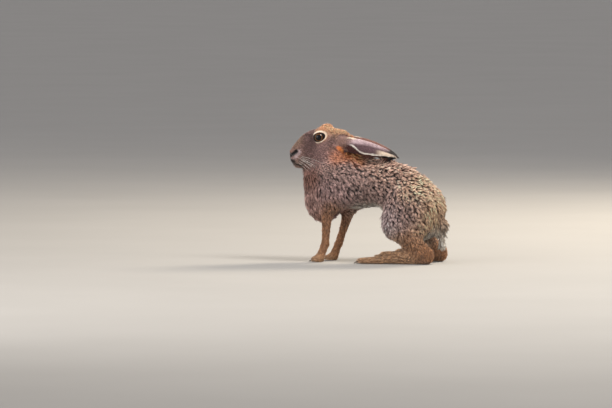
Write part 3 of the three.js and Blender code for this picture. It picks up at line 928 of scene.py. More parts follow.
def write_colour(mesh: bpy.types.Mesh, name: str, colours: np.ndarray) -> None:
    """Gives each point of a mesh a named colour.

    Args:
        mesh: The mesh.
        name: The colour's name.
        colours: One row of red, green and blue for each point.
    """
    layer = mesh.attributes.new(name, "FLOAT_COLOR", "POINT")
    full = np.concatenate([colours, np.ones((len(colours), 1))], axis=1)
    layer.data.foreach_set("color", full.astype(np.float32).ravel())


def dress(piece: bpy.types.Object, material: bpy.types.Material, slot: str, *nodes: str) -> bpy.types.Object:
    """Gives a finished piece its material and its body.

    Args:
        piece: The finished piece.
        material: Its only material.
        slot: Not used.
        nodes: The CAD nodes that the piece stands for.

    Returns:
        The same piece.
    """
    piece.data.materials.clear()
    piece.data.materials.append(material)
    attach(piece, BODY)
    if nodes:
        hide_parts(*nodes)
    log.info("%s: %d points, %d faces", piece.name, len(piece.data.vertices), len(piece.data.polygons))
    return piece


# Materials


class Sheet:
    """A small helper that adds and links a material's nodes."""

    def __init__(self, name: str) -> None:
        """Starts a material with a plain shader.

        Args:
            name: The material's name.
        """
        self.material = bpy.data.materials.new(name)
        self.material.use_nodes = True
        self.tree = self.material.node_tree
        self.shader = self.tree.nodes["Principled BSDF"]

    def node(self, kind: str, **inputs: object) -> bpy.types.Node:
        """Adds a node and fills its sockets.

        Args:
            kind: The node's kind.
            inputs: Outputs to link or values to set, by the sockets' names.

        Returns:
            The node.
        """
        made = self.tree.nodes.new(kind)
        for name, value in inputs.items():
            self.feed(made.inputs[name.replace("_", " ")], value)
        return made

    def feed(self, socket: bpy.types.NodeSocket, value: object) -> None:
        """Links an output to a socket, or sets the socket's value.

        Args:
            socket: The socket.
            value: The output or the value.
        """
        if isinstance(value, bpy.types.NodeSocket):
            self.tree.links.new(value, socket)
        else:
            socket.default_value = value

    def attribute(self, name: str) -> bpy.types.Node:
        """Reads a named value of the mesh.

        Args:
            name: The value's name.

        Returns:
            The node that reads it.
        """
        made = self.tree.nodes.new("ShaderNodeAttribute")
        made.attribute_name = name
        return made

    def math(self, operation: str, first: object, second: object) -> bpy.types.NodeSocket:
        """A sum, product or other operation of two numbers.

        Args:
            operation: The operation's name.
            first: The first number or output.
            second: The second number or output.

        Returns:
            The result's output.
        """
        made = self.tree.nodes.new("ShaderNodeMath")
        made.operation = operation
        self.feed(made.inputs[0], first)
        self.feed(made.inputs[1], second)
        return made.outputs[0]

    def step(self, value: object, low: float, high: float) -> bpy.types.NodeSocket:
        """A soft step of a number.

        Args:
            value: The number's output.
            low: The number where the step starts.
            high: The number where the step ends.

        Returns:
            The result's output, from 0 to 1.
        """
        made = self.tree.nodes.new("ShaderNodeMapRange")
        made.interpolation_type = "SMOOTHSTEP"
        self.feed(made.inputs["Value"], value)
        made.inputs["From Min"].default_value = low
        made.inputs["From Max"].default_value = high
        return made.outputs["Result"]

    def mix(self, share: object, first: object, second: object, blend: str = "MIX") -> bpy.types.NodeSocket:
        """A mix of two colours.

        Args:
            share: How much of the second colour there is, from 0 to 1.
            first: The first colour.
            second: The second colour.
            blend: The way of mixing.

        Returns:
            The mixed colour's output.
        """
        made = self.tree.nodes.new("ShaderNodeMix")
        made.data_type = "RGBA"
        made.blend_type = blend
        self.feed(made.inputs["Factor"], share)
        for name, value in (("A", first), ("B", second)):
            self.feed(self._colour_socket(made.inputs, name), value)
        return self._colour_socket(made.outputs, "Result")

    @staticmethod
    def _colour_socket(sockets: bpy.types.bpy_prop_collection, name: str) -> bpy.types.NodeSocket:
        """The colour socket of that name, where a mix node has one for each kind of value."""
        return next(socket for socket in sockets if socket.name == name and socket.type == "RGBA")

    def noise(
        self, scale: float, detail: float = 3.0, stretch: Triple = (1.0, 1.0, 1.0)
    ) -> bpy.types.NodeSocket:
        """A noise on the object's own coordinates.

        Args:
            scale: Its lumps in a metre.
            detail: How many finer layers it has.
            stretch: The scale's share along each axis.

        Returns:
            The noise's output.
        """
        place = self.tree.nodes.new("ShaderNodeTexCoord")
        mapping = self.tree.nodes.new("ShaderNodeMapping")
        mapping.inputs["Scale"].default_value = stretch
        self.tree.links.new(place.outputs["Object"], mapping.inputs["Vector"])
        made = self.node("ShaderNodeTexNoise", Vector=mapping.outputs[0], Scale=scale, Detail=detail)
        return made.outputs["Fac"]

    def bump(self, height: object, strength: float, distance: float) -> None:
        """Adds fine relief to the shader."""
        made = self.node("ShaderNodeBump", Height=height, Strength=strength, Distance=distance)
        self.tree.links.new(made.outputs[0], self.shader.inputs["Normal"])


@dataclass(frozen=True)
class CoatFinish:
    """Fur: dark at the root, banded, with dark tips on some tufts. Starts are shares of a tuft's length."""

    roughness: float = 0.8
    specular: float = 0.18
    sheen: float = 0.2
    sheen_roughness: float = 0.5
    grain_scale: float = 1400.0
    grain_detail: float = 2.0
    grain_share: float = 0.25
    root_shade: tuple[float, float, float, float] = (0.5, 0.47, 0.48, 1.0)
    band_start: Pair = (0.25, 0.75)
    tip_start: Pair = (0.62, 0.9)
    tip: tuple[int, int, int] = (38, 28, 26)
    streak_scale: float = 420.0
    streak_detail: float = 4.0
    streak_stretch: Triple = (1.0, 1.0, 0.55)
    streak_edge: Pair = (0.4, 0.8)
    streak_share: float = 0.4
    relief: float = 0.5
    relief_depth: float = 1.2 * MM

    def tufts(self) -> bpy.types.Material:
        """The material of the tufts, from their own colours along their length.

        Returns:
            The material.
        """
        sheet = Sheet("fur_tufts")
        along = sheet.attribute("along").outputs["Fac"]
        grain = sheet.noise(self.grain_scale, self.grain_detail)
        stir = sheet.math("MULTIPLY", sheet.math("SUBTRACT", grain, 0.5), self.grain_share)
        reach = sheet.math("ADD", along, stir)
        root = sheet.attribute("root").outputs["Color"]
        band = sheet.attribute("band").outputs["Color"]
        deep = sheet.mix(1.0, root, self.root_shade, "MULTIPLY")
        colour = sheet.mix(sheet.step(reach, *self.band_start), deep, band)
        is_tipped = sheet.attribute("tipped").outputs["Fac"]
        tipped = sheet.math("MULTIPLY", sheet.step(reach, *self.tip_start), is_tipped)
        colour = sheet.mix(tipped, colour, paint(*self.tip))
        sheet.feed(sheet.shader.inputs["Base Color"], colour)
        self._surface(sheet)
        return sheet.material

    def underfur(self) -> bpy.types.Material:
        """The material of the skin, which shows between the tufts with the same markings.

        Returns:
            The material.
        """
        sheet = Sheet("underfur")
        streaks = sheet.noise(self.streak_scale, self.streak_detail, self.streak_stretch)
        root = sheet.attribute("root").outputs["Color"]
        band = sheet.attribute("band").outputs["Color"]
        share = sheet.math("MULTIPLY", sheet.step(streaks, *self.streak_edge), self.streak_share)
        sheet.feed(sheet.shader.inputs["Base Color"], sheet.mix(share, root, band))
        sheet.bump(streaks, self.relief, self.relief_depth)
        self._surface(sheet)
        return sheet.material

    def _surface(self, sheet: Sheet) -> None:
        """Sets the gloss that is the same all over.

        Args:
            sheet: The material's sheet, which is changed.
        """
        shader = sheet.shader
        shader.inputs["Roughness"].default_value = self.roughness
        shader.inputs["Specular IOR Level"].default_value = self.specular
        shader.inputs["Sheen Weight"].default_value = self.sheen
        shader.inputs["Sheen Roughness"].default_value = self.sheen_roughness


# The skin


# Cuts in the face's left side: a line, with the cut's width and depth in millimetres
FACE_CUTS = ((NOSTRIL, 4.4, 4.2), (PHILTRUM, 2.0, 1.8), (MOUTH, 2.2, 2.2))

# Pads of the face's left side: a place in the head, with the pad's reach and height in millimetres
FACE_PADS = (
    ((8.5, 110.0, -12.5), 6.5, 1.7),
    ((7.0, 112.0, 2.5), 5.0, 1.6),
    ((14.5, 100.0, -5.0), 6.0, 1.2),
    ((4.0, 110.0, -25.0), 6.0, 1.0),
)


@dataclass(frozen=True)
class LidShape:
    """How the skin opens over a globe: steps across its opening, and shares of its radius.

    The height and the drop are in millimetres.
    """

    height: float = 1.0
    drop: float = 0.35
    drop_start: Pair = (1.3, 1.0)
    pocket: float = 0.78
    edge: Pair = (0.9, 1.0)
    hold_end: Pair = (1.25, 1.9)
    reach: float = 2.6


@dataclass
class Skin:
    """The one skin under the coat, made from copies of the flesh solids. Sizes are in metres.

    Steps across the body or the head are in their own millimetres.
    """

    flesh: tuple[str, ...] = (
        "head", "neck", "trunk", "tail", "ear_left", "ear_right", "foreleg_left", "foreleg_right",
        "forepaw_left", "forepaw_right", "haunch_left", "haunch_right", "hind_foot_left", "hind_foot_right",
    )
    globes: tuple[str, ...] = ("eye_left", "eye_right")
    weld: float = 0.02 * MM
    swell: float = 0.65 * MM
    voxel: float = 2.3 * MM
    coat_share: float = 0.3
    ear_depth: float = 0.3 * MM
    bare_end: Pair = (2.5 * MM, 8.0 * MM)
    bare_band: float = 0.4
    covered_shade: float = 0.5
    smooth_factor: float = 0.5
    light_passes: int = 5
    broad_passes: int = 26
    last_passes: int = 2
    foot_end: Pair = (34.0, 60.0)
    head_start: Pair = (12.0, -8.0)
    ear_start: Pair = (178.0, 186.0)
    leg_start: Pair = (-30.0, -45.0)
    leg_end: Pair = (88.0, 104.0)
    finer: tuple[Pair, ...] = ((19.0, 84.0), (17.0, 88.0))
    finer_foot: float = -34.0
    finer_smoothness: float = 0.6
    thin_ear_start: Pair = (182.0, 190.0)
    thin_ear_end: float = 2.0
    lid: LidShape = LidShape()
    inward: Triple = (-0.5, -0.8, 0.0)
    muzzle: Triple = (0.0, 96.0, -10.0)
    thing: bpy.types.Object = field(default=None, repr=False)

    def build(self, coat_map: CoatMap) -> bpy.types.Object:
        """Makes the skin.

        Args:
            coat_map: The coat, whose depth the skin keeps inside the solids.

        Returns:
            The skin's object, not yet dressed.
        """
        self.thing = self._gather()
        finish_modifier(self.thing, "REMESH", mode="VOXEL", voxel_size=self.voxel)
        self._soften()
        self._refine()
        self._sink(coat_map)
        self._sculpt_eyes()
        self._sculpt_face()
        for polygon in self.thing.data.polygons:
            polygon.use_smooth = True
        lie = coat_map.at(points_of(self.thing))
        cover = smooth(*self.bare_end, lie.length)[:, None]
        bare = lie.root * (1.0 - self.bare_band) + lie.band * self.bare_band
        under = bare * (1.0 - cover) + lie.root * self.covered_shade * cover
        write_colour(self.thing.data, "root", under)
        write_colour(self.thing.data, "band", lie.band)
        return self.thing

    def _gather(self) -> bpy.types.Object:
        """Copies the flesh solids, swells them until they meet, and joins them.

        Returns:
            The joined object.
        """
        copies = []
        for name in self.flesh + self.globes:
            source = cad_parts[name]
            copy = bpy.data.objects.new("flesh_" + name, source.data.copy())
            bpy.context.scene.collection.objects.link(copy)
            alone(copy)
            bpy.ops.object.mode_set(mode="EDIT")
            bpy.ops.mesh.select_all(action="SELECT")
            bpy.ops.mesh.remove_doubles(threshold=self.weld)
            bpy.ops.object.mode_set(mode="OBJECT")
            finish_modifier(copy, "DISPLACE", strength=self.swell, mid_level=0.0)
            copies.append(copy)
        alone(copies[0])
        for copy in copies:
            copy.select_set(True)
        bpy.ops.object.join()
        joined = bpy.context.object
        joined.name = "skin"
        joined.data.name = "skin"
        return joined

    def _soften(self) -> None:
        """Smooths the facets away, most on the broad forms and least on head, ears and feet."""
        skin = self.thing
        own = body_points(points_of(skin))
        head = HEAD.local(points_of(skin))
        broad = smooth(*self.foot_end, own[:, 2]) * smooth(*self.head_start, head[:, 1])
        ears = smooth(*self.ear_start, own[:, 2])
        legs = smooth(*self.leg_start, own[:, 1]) * (1.0 - smooth(*self.leg_end, own[:, 2]))
        broad *= (1.0 - ears) * (1.0 - legs)
        everywhere = np.ones(len(own))
        for name, weights, passes in (
            ("all", everywhere, self.light_passes),
            ("broad", broad, self.broad_passes),
        ):
            group = skin.vertex_groups.new(name=name)
            for level in np.unique(np.round(weights, 1)):
                chosen = np.flatnonzero(np.round(weights, 1) == level)
                group.add(chosen.tolist(), float(level), "REPLACE")
            finish_modifier(
                skin, "SMOOTH", factor=self.smooth_factor, iterations=passes, vertex_group=name
            )
        skin.vertex_groups.clear()

    def _refine(self) -> None:
        """Divides the faces round the eyes, nose and mouth finer, twice."""
        skin = self.thing
        for radius, muzzle_start in self.finer:
            own = HEAD.local(points_of(skin))
            near = np.zeros(len(own), bool)
            for eye in EYES:
                near |= np.linalg.norm(own - eye.centre, axis=1) < radius
            near |= (own[:, 1] > muzzle_start) & (own[:, 2] > self.finer_foot)
            alone(skin)
            bpy.ops.object.mode_set(mode="EDIT")
            bpy.ops.mesh.select_all(action="DESELECT")
            bpy.ops.object.mode_set(mode="OBJECT")
            faces = np.zeros(len(skin.data.polygons), bool)
            for index, polygon in enumerate(skin.data.polygons):
                faces[index] = all(near[v] for v in polygon.vertices)
            skin.data.polygons.foreach_set("select", faces)
            bpy.ops.object.mode_set(mode="EDIT")
            bpy.ops.mesh.select_mode(type="FACE")
            bpy.ops.mesh.subdivide(number_cuts=1, smoothness=self.finer_smoothness)
            bpy.ops.object.mode_set(mode="OBJECT")

    def _sink(self, coat_map: CoatMap) -> None:
        """Draws the skin in by the coat's depth.

        Args:
            coat_map: The coat, which says how long the fur is.
        """
        skin = self.thing
        points = points_of(skin)
        lie = coat_map.at(points)
        depth = lie.length * self.coat_share + self.swell
        behind_head = HEAD.local(points)[:, 1] < self.thin_ear_end
        ears = smooth(*self.thin_ear_start, body_points(points)[:, 2]) * behind_head
        depth = depth * (1.0 - ears) + (self.swell + self.ear_depth) * ears
        place_points(skin, points - normals_of(skin) * depth[:, None])
        finish_modifier(skin, "SMOOTH", factor=self.smooth_factor, iterations=self.last_passes)

    def _sculpt_eyes(self) -> None:
        """Opens the lids over each globe and sets their edges on it."""
        points = points_of(self.thing)
        own = HEAD.local(points)
        radius = HEAD.eye_radius
        shape = self.lid
        for eye in EYES:
            out, distance, opening = eye.measure(own)
            near = (out > 0.0) & (distance < shape.reach * radius)
            lid = radius + shape.height - shape.drop * smooth(*shape.drop_start, opening)
            pocket = shape.pocket * radius
            inner = pocket + (lid - pocket) * smooth(*shape.edge, opening)
            target = np.where(opening < 1.0, inner, lid)
            hold = near * (1.0 - smooth(*shape.hold_end, opening))
            new_distance = distance * (1.0 - hold) + target * hold
            own = eye.centre + unit(own - eye.centre) * new_distance[:, None]
        place_points(self.thing, HEAD.world(own))

    def _sculpt_face(self) -> None:
        """Cuts the nostrils, the split lip and the mouth, and rounds the pads beside them."""
        own = HEAD.local(points_of(self.thing))
        folded = np.abs(own * np.array((1.0, 0.0, 0.0))) + own * np.array((0.0, 1.0, 1.0))
        sign = np.where(own[:, 0] >= 0, 1.0, -1.0)
        inward = np.array(self.inward)
        outward = unit(folded - np.array(self.muzzle))
        moves = np.zeros_like(own)
        for line, width, depth in FACE_CUTS:
            gap = distance_to_line(folded, line)
            moves += inward * (depth * (1.0 - smooth(0.0, width, gap)))[:, None]
        for place, reach, height in FACE_PADS:
            gap = np.linalg.norm(folded - np.array(place), axis=1)
            moves += outward * (height * (1.0 - smooth(0.0, reach, gap)))[:, None]
        moves[:, 0] *= sign
        place_points(self.thing, HEAD.world(own + moves))


# The tufts


@dataclass(frozen=True)
class Region:
    """A stretch of the skin whose tufts make one piece."""

    name: str
    density: float
    rings: int = 2
    clump: float = 10.0
    slot: str = "coat"


class Regions(Enum):
    """The pieces of the coat, with tufts for each square millimetre."""

    HEAD_LEFT = Region("coat_head_left", 2.15, 2, 6.0)
    HEAD_RIGHT = Region("coat_head_right", 2.15, 2, 6.0)
    NECK = Region("coat_neck", 1.05, 2, 8.0)
    FORE_LEFT = Region("coat_fore_left", 0.8, 2, 10.0)
    FORE_RIGHT = Region("coat_fore_right", 0.8, 2, 10.0)
    REAR_LEFT = Region("coat_rear_left", 0.76, 2, 10.0)
    REAR_RIGHT = Region("coat_rear_right", 0.76, 2, 10.0)
    FORELEGS = Region("coat_forelegs", 0.8, 2, 7.0)
    HIND_FEET = Region("coat_hind_feet", 0.65, 2, 7.0)
    EARS = Region("coat_ears", 1.38, 2, 5.0, "ear_coat")
    TAIL = Region("coat_tail", 0.9, 3, 9.0, "tail_coat")


@dataclass(frozen=True)
class Borders:
    """Where the regions meet, in millimetres: x left, y back and z up of the body, and the head's own axes.

    A border of three numbers is a sloping one: the height, the y where it has that height, and the slope.
    """

    rear_y: float = 8.0
    neck_y: float = -10.0
    neck_foot: Triple = (138.0, -133.0, 0.46)
    head_back: float = 8.0
    head_foot: float = -38.0
    head_slope: float = 0.9
    head_slope_start: float = 2.0
    ear_foot: float = 183.0
    ear_foot_slope: float = 0.12
    ear_foot_run: float = 60.0
    ear_back: Triple = (206.0, -40.0, -0.32)
    ear_half_width: float = 42.0
    ear_y: float = -62.0
    foreleg_y: float = -20.0
    foreleg_top: float = 96.0
    hind_foot_y: float = -30.0
    hind_foot_top: float = 30.0
    tail_y: float = 118.0
    tail_half_width: float = 17.0
    tail_top: float = 86.0
    tail_foot: float = 24.0


BORDERS = Borders()


def slope(border: Triple, y: np.ndarray) -> np.ndarray:
    """The height of a sloping border at each y."""
    return border[0] + (y - border[1]) * border[2]


def region_of(points: np.ndarray) -> np.ndarray:
    """Which region each point of the skin belongs to.

    Args:
        points: Rows of points of the frame.

    Returns:
        Each point's region, as its place in Regions.
    """
    order = list(Regions)
    own = body_points(points)
    head = HEAD.local(points)
    x, y, z = own.T
    index = np.where(
        y < BORDERS.rear_y,
        np.where(x > 0, order.index(Regions.FORE_LEFT), order.index(Regions.FORE_RIGHT)),
        np.where(x > 0, order.index(Regions.REAR_LEFT), order.index(Regions.REAR_RIGHT)),
    )
    index[(y < BORDERS.neck_y) & (z > slope(BORDERS.neck_foot, y))] = order.index(Regions.NECK)
    in_head = (head[:, 1] > BORDERS.head_back) & (head[:, 2] > BORDERS.head_foot)
    in_head &= head[:, 1] * BORDERS.head_slope + head[:, 2] > BORDERS.head_slope_start
    index[in_head & (head[:, 0] >= 0)] = order.index(Regions.HEAD_LEFT)
    index[in_head & (head[:, 0] < 0)] = order.index(Regions.HEAD_RIGHT)
    ear_foot = BORDERS.ear_foot - np.clip(y, 0, BORDERS.ear_foot_run) * BORDERS.ear_foot_slope
    ears = (head[:, 1] <= BORDERS.head_back) & (z > ear_foot)
    ears &= (np.abs(x) < BORDERS.ear_half_width) & (y > BORDERS.ear_y)
    ears &= z > slope(BORDERS.ear_back, y)
    index[ears] = order.index(Regions.EARS)
    index[(y < BORDERS.foreleg_y) & (z < BORDERS.foreleg_top)] = order.index(Regions.FORELEGS)
    index[(z < BORDERS.hind_foot_top) & (y > BORDERS.hind_foot_y)] = order.index(Regions.HIND_FEET)
    tail = (y > BORDERS.tail_y) & (np.abs(x) < BORDERS.tail_half_width)
    tail &= (z < BORDERS.tail_top) & (z > BORDERS.tail_foot)
    index[tail] = order.index(Regions.TAIL)
    return index


@dataclass
class Roots:
    """Where tufts grow: arrays with one row for each tuft."""

    place: np.ndarray
    normal: np.ndarray
    patch: np.ndarray
    lie: Lie


@dataclass(frozen=True)
class TuftShape:
    """How a tuft bends and gathers: turns in radians, and the rest as shares of its lift, length or width.

    Its clump's part and its own part of a turn or a lift come by chance.
    """

    clump_turn: float = 0.16
    curl_turn: float = 0.3
    own_turn: float = 0.1
    clump_lift: float = 0.3
    own_lift: float = 0.12
    length_spread: float = 0.14
    length_limits: Pair = (0.6, 1.4)
    width_share: float = 0.74
    width_limits: Pair = (0.7, 1.3)
    curl_shortening: float = 0.12
    rise: float = 1.25
    fall: float = 0.55
    sway: float = 0.13
    sway_pace: float = 4.2
    wave: float = 0.07
    wave_phase: float = 1.7
    wave_pace: float = 5.0
    gather: float = 0.22
    long_gather: float = 0.4
    long_start: Pair = (4.0 * MM, 10.0 * MM)
    curl_gather: float = 0.12
    gather_power: float = 1.3
    profile_at: tuple[float, ...] = (0.0, 0.4, 0.75, 1.0)
    profile_width: tuple[float, ...] = (0.75, 1.0, 0.66, 0.0)
    ridge: float = 0.9


@dataclass(frozen=True)
class TuftLight:
    """How much tufts differ in lightness, and how dark their tips are, as shares."""

    clump_spread: float = 0.26
    own_spread: float = 0.1
    lump_share: float = 0.17
    lump_width: float = 6.0 * MM
    limits: Pair = (0.5, 1.5)
    dark_tip: Pair = (0.6, 1.0)
    plain_tip: Pair = (0.0, 0.25)


class Coat:
    """Grows the tufts of each region over the skin. Sizes are in metres."""

    patch_width: float = 3.0 * MM
    root_depth: float = 0.8 * MM
    floor_gap: float = 0.4 * MM
    sole_height: float = 1.2
    sole_turn: float = -0.5
    seam_angle: float = math.radians(66)
    island_margin: float = 0.004
    shape: TuftShape = TuftShape()
    light: TuftLight = TuftLight()

    def __init__(self, skin: bpy.types.Object, coat_map: CoatMap, finish: CoatFinish) -> None:
        """Keeps what every piece of the coat shares.

        Args:
            skin: The skin that the tufts grow on.
            coat_map: The coat's length, lie and colour.
            finish: The fur's look.
        """
        self.skin = skin
        self.coat_map = coat_map
        self.material = finish.tufts()
        centres = np.empty(len(skin.data.polygons) * 3, np.float32)
        skin.data.polygons.foreach_get("center", centres)
        self.face_region = region_of(centres.reshape(-1, 3).astype(float))

    def build(self) -> None:
        """Makes every region's piece."""
        for number, region in enumerate(Regions):
            chosen = self.face_region == number
            if chosen.any():
                self._grow(region.value, chosen, np.random.default_rng(SEED + number))

    def _grow(self, region: Region, chosen: np.ndarray, rng: np.random.Generator) -> None:
        """Makes one piece of the coat.

        Args:
            region: The piece's region.
            chosen: Whether each face of the skin belongs to it.
            rng: The source of chance.
        """
        patch = self._cut_patch(chosen)
        roots = self._sow(patch, region.density, rng)
        bpy.data.objects.remove(patch)
        if len(roots.place):
            self._raise(region, roots, rng)

    def _cut_patch(self, chosen: np.ndarray) -> bpy.types.Object:
        """Copies the skin's chosen faces, in triangles and unwrapped flat.

        Args:
            chosen: Whether each face of the skin is copied.

        Returns:
            The copy.
        """
        patch = bpy.data.objects.new("patch", self.skin.data.copy())
        bpy.context.scene.collection.objects.link(patch)
        alone(patch)
        bpy.ops.object.mode_set(mode="EDIT")
        bpy.ops.mesh.select_mode(type="FACE")
        bpy.ops.object.mode_set(mode="OBJECT")
        patch.data.polygons.foreach_set("select", ~chosen)
        bpy.ops.object.mode_set(mode="EDIT")
        bpy.ops.mesh.delete(type="FACE")
        bpy.ops.mesh.select_all(action="SELECT")
        bpy.ops.mesh.quads_convert_to_tris()
        bpy.ops.uv.smart_project(angle_limit=self.seam_angle, island_margin=self.island_margin)
        bpy.ops.object.mode_set(mode="OBJECT")
        return patch

    def _sow(self, patch: bpy.types.Object, density: float, rng: np.random.Generator) -> Roots:
        """Scatters roots evenly over a patch of skin.

        Args:
            patch: The skin's faces, in triangles.
            density: Tufts for each square millimetre.
            rng: The source of chance.

        Returns:
            The roots.
        """
        mesh = patch.data
        corners = np.empty(len(mesh.loops), np.int32)
        mesh.loops.foreach_get("vertex_index", corners)
        corners = corners.reshape(-1, 3)
        flat = np.empty(len(mesh.loops) * 2, np.float32)
        mesh.uv_layers.active.data.foreach_get("uv", flat)
        map_place = flat.reshape(-1, 3, 2)
        points, normals = points_of(patch), normals_of(patch)
        a, b, c = (points[corners[:, i]] for i in range(3))
        area = np.linalg.norm(np.cross(b - a, c - a), axis=1) / 2 / MM**2
        counts = np.floor(area * density + rng.random(len(area))).astype(int)
        face = np.repeat(np.arange(len(area)), counts)
        share = rng.random((len(face), 2))
        over = share.sum(axis=1) > 1
        share[over] = 1 - share[over]
        weight = np.stack([1 - share.sum(axis=1), share[:, 0], share[:, 1]], axis=1)
        place = (points[corners[face]] * weight[:, :, None]).sum(axis=1)
        normal = unit((normals[corners[face]] * weight[:, :, None]).sum(axis=1))
        spot = (map_place[face] * weight[:, :, None]).sum(axis=1)
        lie = self.coat_map.at(place)
        keep = rng.random(len(face)) > lie.bare
        keep &= ~((body_points(place)[:, 2] < self.sole_height) & (normal[:, 2] < self.sole_turn))
        rows = {name: value[keep] for name, value in vars(lie).items()}
        return Roots(place[keep], normal[keep], spot[keep], Lie(**rows))

    def _raise(self, region: Region, roots: Roots, rng: np.random.Generator) -> None:
        """Grows a tuft on each root and joins them in one mesh.

        Args:
            region: The piece's region.
            roots: Where the tufts grow.
            rng: The source of chance.
        """
        lie = roots.lie
        shape = self.shape
        count = len(roots.place)
        flow = unit(lie.flow - roots.normal * (lie.flow * roots.normal).sum(axis=1, keepdims=True))
        leaders = np.flatnonzero(rng.random(count) < 1.0 / region.clump)
        tree = KDTree(len(leaders))
        for number, leader in enumerate(leaders):
            tree.insert(roots.place[leader], number)
        tree.balance()
        clump = np.array([tree.find(place)[1] for place in roots.place])
        head = leaders[clump]

        wander = rng.normal(size=len(leaders))[clump] * (shape.clump_turn + shape.curl_turn * lie.curl)
        wander += rng.normal(size=count) * shape.own_turn
        side = np.cross(roots.normal, flow)
        heading = unit(flow * np.cos(wander)[:, None] + side * np.sin(wander)[:, None])
        side = np.cross(roots.normal, heading)
        clump_lift = rng.normal(size=len(leaders))[clump] * shape.clump_lift
        own_lift = rng.normal(size=count) * shape.own_lift
        lift = lie.lift * (1.0 + clump_lift + own_lift)
        phase = rng.uniform(0, math.tau, len(leaders))[clump]
        own_length = 1.0 + rng.normal(size=count) * shape.length_spread
        length = lie.length * np.clip(own_length, *shape.length_limits)
        width = lie.width * shape.width_share * rng.uniform(*shape.width_limits, count)

        stations = np.linspace(0.0, 1.0, region.rings + 1)
        path = []
        for s in stations:
            ahead = length * s * (1.0 - shape.curl_shortening * lie.curl * s)
            arch = np.sin(lift) * s * shape.rise - np.sin(lift) * shape.fall * s * s
            rise = length * arch - self.root_depth * (1.0 - s)
            sway = length * lie.curl * shape.sway * np.sin(phase + s * shape.sway_pace) * s
            wave = np.sin(phase * shape.wave_phase + s * shape.wave_pace)
            rise = rise + length * lie.curl * shape.wave * wave * s
            place = roots.place + heading * ahead[:, None] + roots.normal * rise[:, None]
            path.append(place + side * sway[:, None])
        path = np.array(path)
        gather = shape.gather + shape.long_gather * smooth(*shape.long_start, lie.length)
        gather = gather + shape.curl_gather * lie.curl
        gather = gather[None, :, None] * (stations**shape.gather_power)[:, None, None]
        path = path * (1.0 - gather) + path[:, head] * gather
        path[:, :, 2] = np.maximum(path[:, :, 2], self.floor_gap)

        mesh_data = self._spikes(path, roots.normal, width, roots.patch)
        piece = self._mesh(region.name, *mesh_data)
        self._colour(piece, roots, clump, len(leaders), stations, rng)
        dress(piece, self.material, region.slot)

    def _spikes(
        self, path: np.ndarray, normal: np.ndarray, width: np.ndarray, patch: np.ndarray
    ) -> tuple[np.ndarray, np.ndarray, np.ndarray, np.ndarray]:
        """Closed three-sided spikes along paths.

        Args:
            path: Places along each tuft, the last one its tip.
            normal: The skin's outward direction at each root.
            width: Each tuft's full width.
            patch: Each root's place on the unwrapped skin.

        Returns:
            The points, the corners of the faces, the number of corners of each face, and the map of
            every corner.
        """
        steps, count = len(path) - 1, path.shape[1]
        stations = np.linspace(0, 1, steps + 1)
        profile = np.interp(stations, self.shape.profile_at, self.shape.profile_width)
        rings = []
        for number in range(steps):
            along = unit(path[number + 1] - path[number])
            across = unit(np.cross(normal, along))
            upward = np.cross(along, across)
            half = (width * profile[number] / 2)[:, None]
            centre = path[number]
            top = centre + upward * half * self.shape.ridge
            rings += [centre - across * half, centre + across * half, top]
        points = np.stack(rings + [path[steps]], axis=1)
        tip = 3 * steps
        sides = ((0, 2, 0.0, 0.5), (2, 1, 0.5, 1.0), (1, 0, 1.0, 0.0))
        faces, spots = [(0, 2, 1)], [((0, 0), (0.5, 0.15), (1, 0))]
        for number in range(steps - 1):
            low, high = 3 * number, 3 * (number + 1)
            t0, t1 = number / steps, (number + 1) / steps
            for a, b, u0, u1 in sides:
                faces.append((low + a, high + a, high + b, low + b))
                spots.append(((u0, t0), (u0, t1), (u1, t1), (u1, t0)))
        last, t0 = 3 * (steps - 1), (steps - 1) / steps
        for a, b, u0, u1 in sides:
            faces.append((last + a, tip, last + b))
            spots.append(((u0, t0), ((u0 + u1) / 2, 1.0), (u1, t0)))
        corner = np.concatenate([np.array(face) for face in faces])
        sizes = np.array([len(face) for face in faces])
        spot = np.concatenate([np.array(one, float) for one in spots])
        stride = 3 * steps + 1
        corners = (corner[None, :] + stride * np.arange(count)[:, None]).ravel()
        map_place = (patch[:, None, :] + (spot[None, :, :] - 0.5) * self.patch_width).reshape(-1, 2)
        return points.reshape(-1, 3), corners, np.tile(sizes, count), map_place

    @staticmethod
    def _mesh(
        name: str, points: np.ndarray, corners: np.ndarray, sizes: np.ndarray, map_place: np.ndarray
    ) -> bpy.types.Object:
        """Makes an object of plain arrays.

        Args:
            name: The object's name.
            points: Rows of points.
            corners: The points at the corners of all faces, face by face.
            sizes: The number of corners of each face.
            map_place: Each corner's place on the map.

        Returns:
            The object, not yet dressed.
        """
        mesh = bpy.data.meshes.new(name)
        mesh.vertices.add(len(points))
        mesh.vertices.foreach_set("co", points.astype(np.float32).ravel())
        mesh.loops.add(len(corners))
        mesh.loops.foreach_set("vertex_index", corners.astype(np.int32))
        mesh.polygons.add(len(sizes))
        starts = np.concatenate([[0], np.cumsum(sizes)[:-1]])
        mesh.polygons.foreach_set("loop_start", starts.astype(np.int32))
        mesh.polygons.foreach_set("loop_total", sizes.astype(np.int32))
        mesh.polygons.foreach_set("use_smooth", np.ones(len(sizes), bool))
        mesh.update(calc_edges=True)
        layer = mesh.uv_layers.new(name="OFBake")
        layer.data.foreach_set("uv", map_place.astype(np.float32).ravel())
        piece = bpy.data.objects.new(name, mesh)
        bpy.context.scene.collection.objects.link(piece)
        return piece

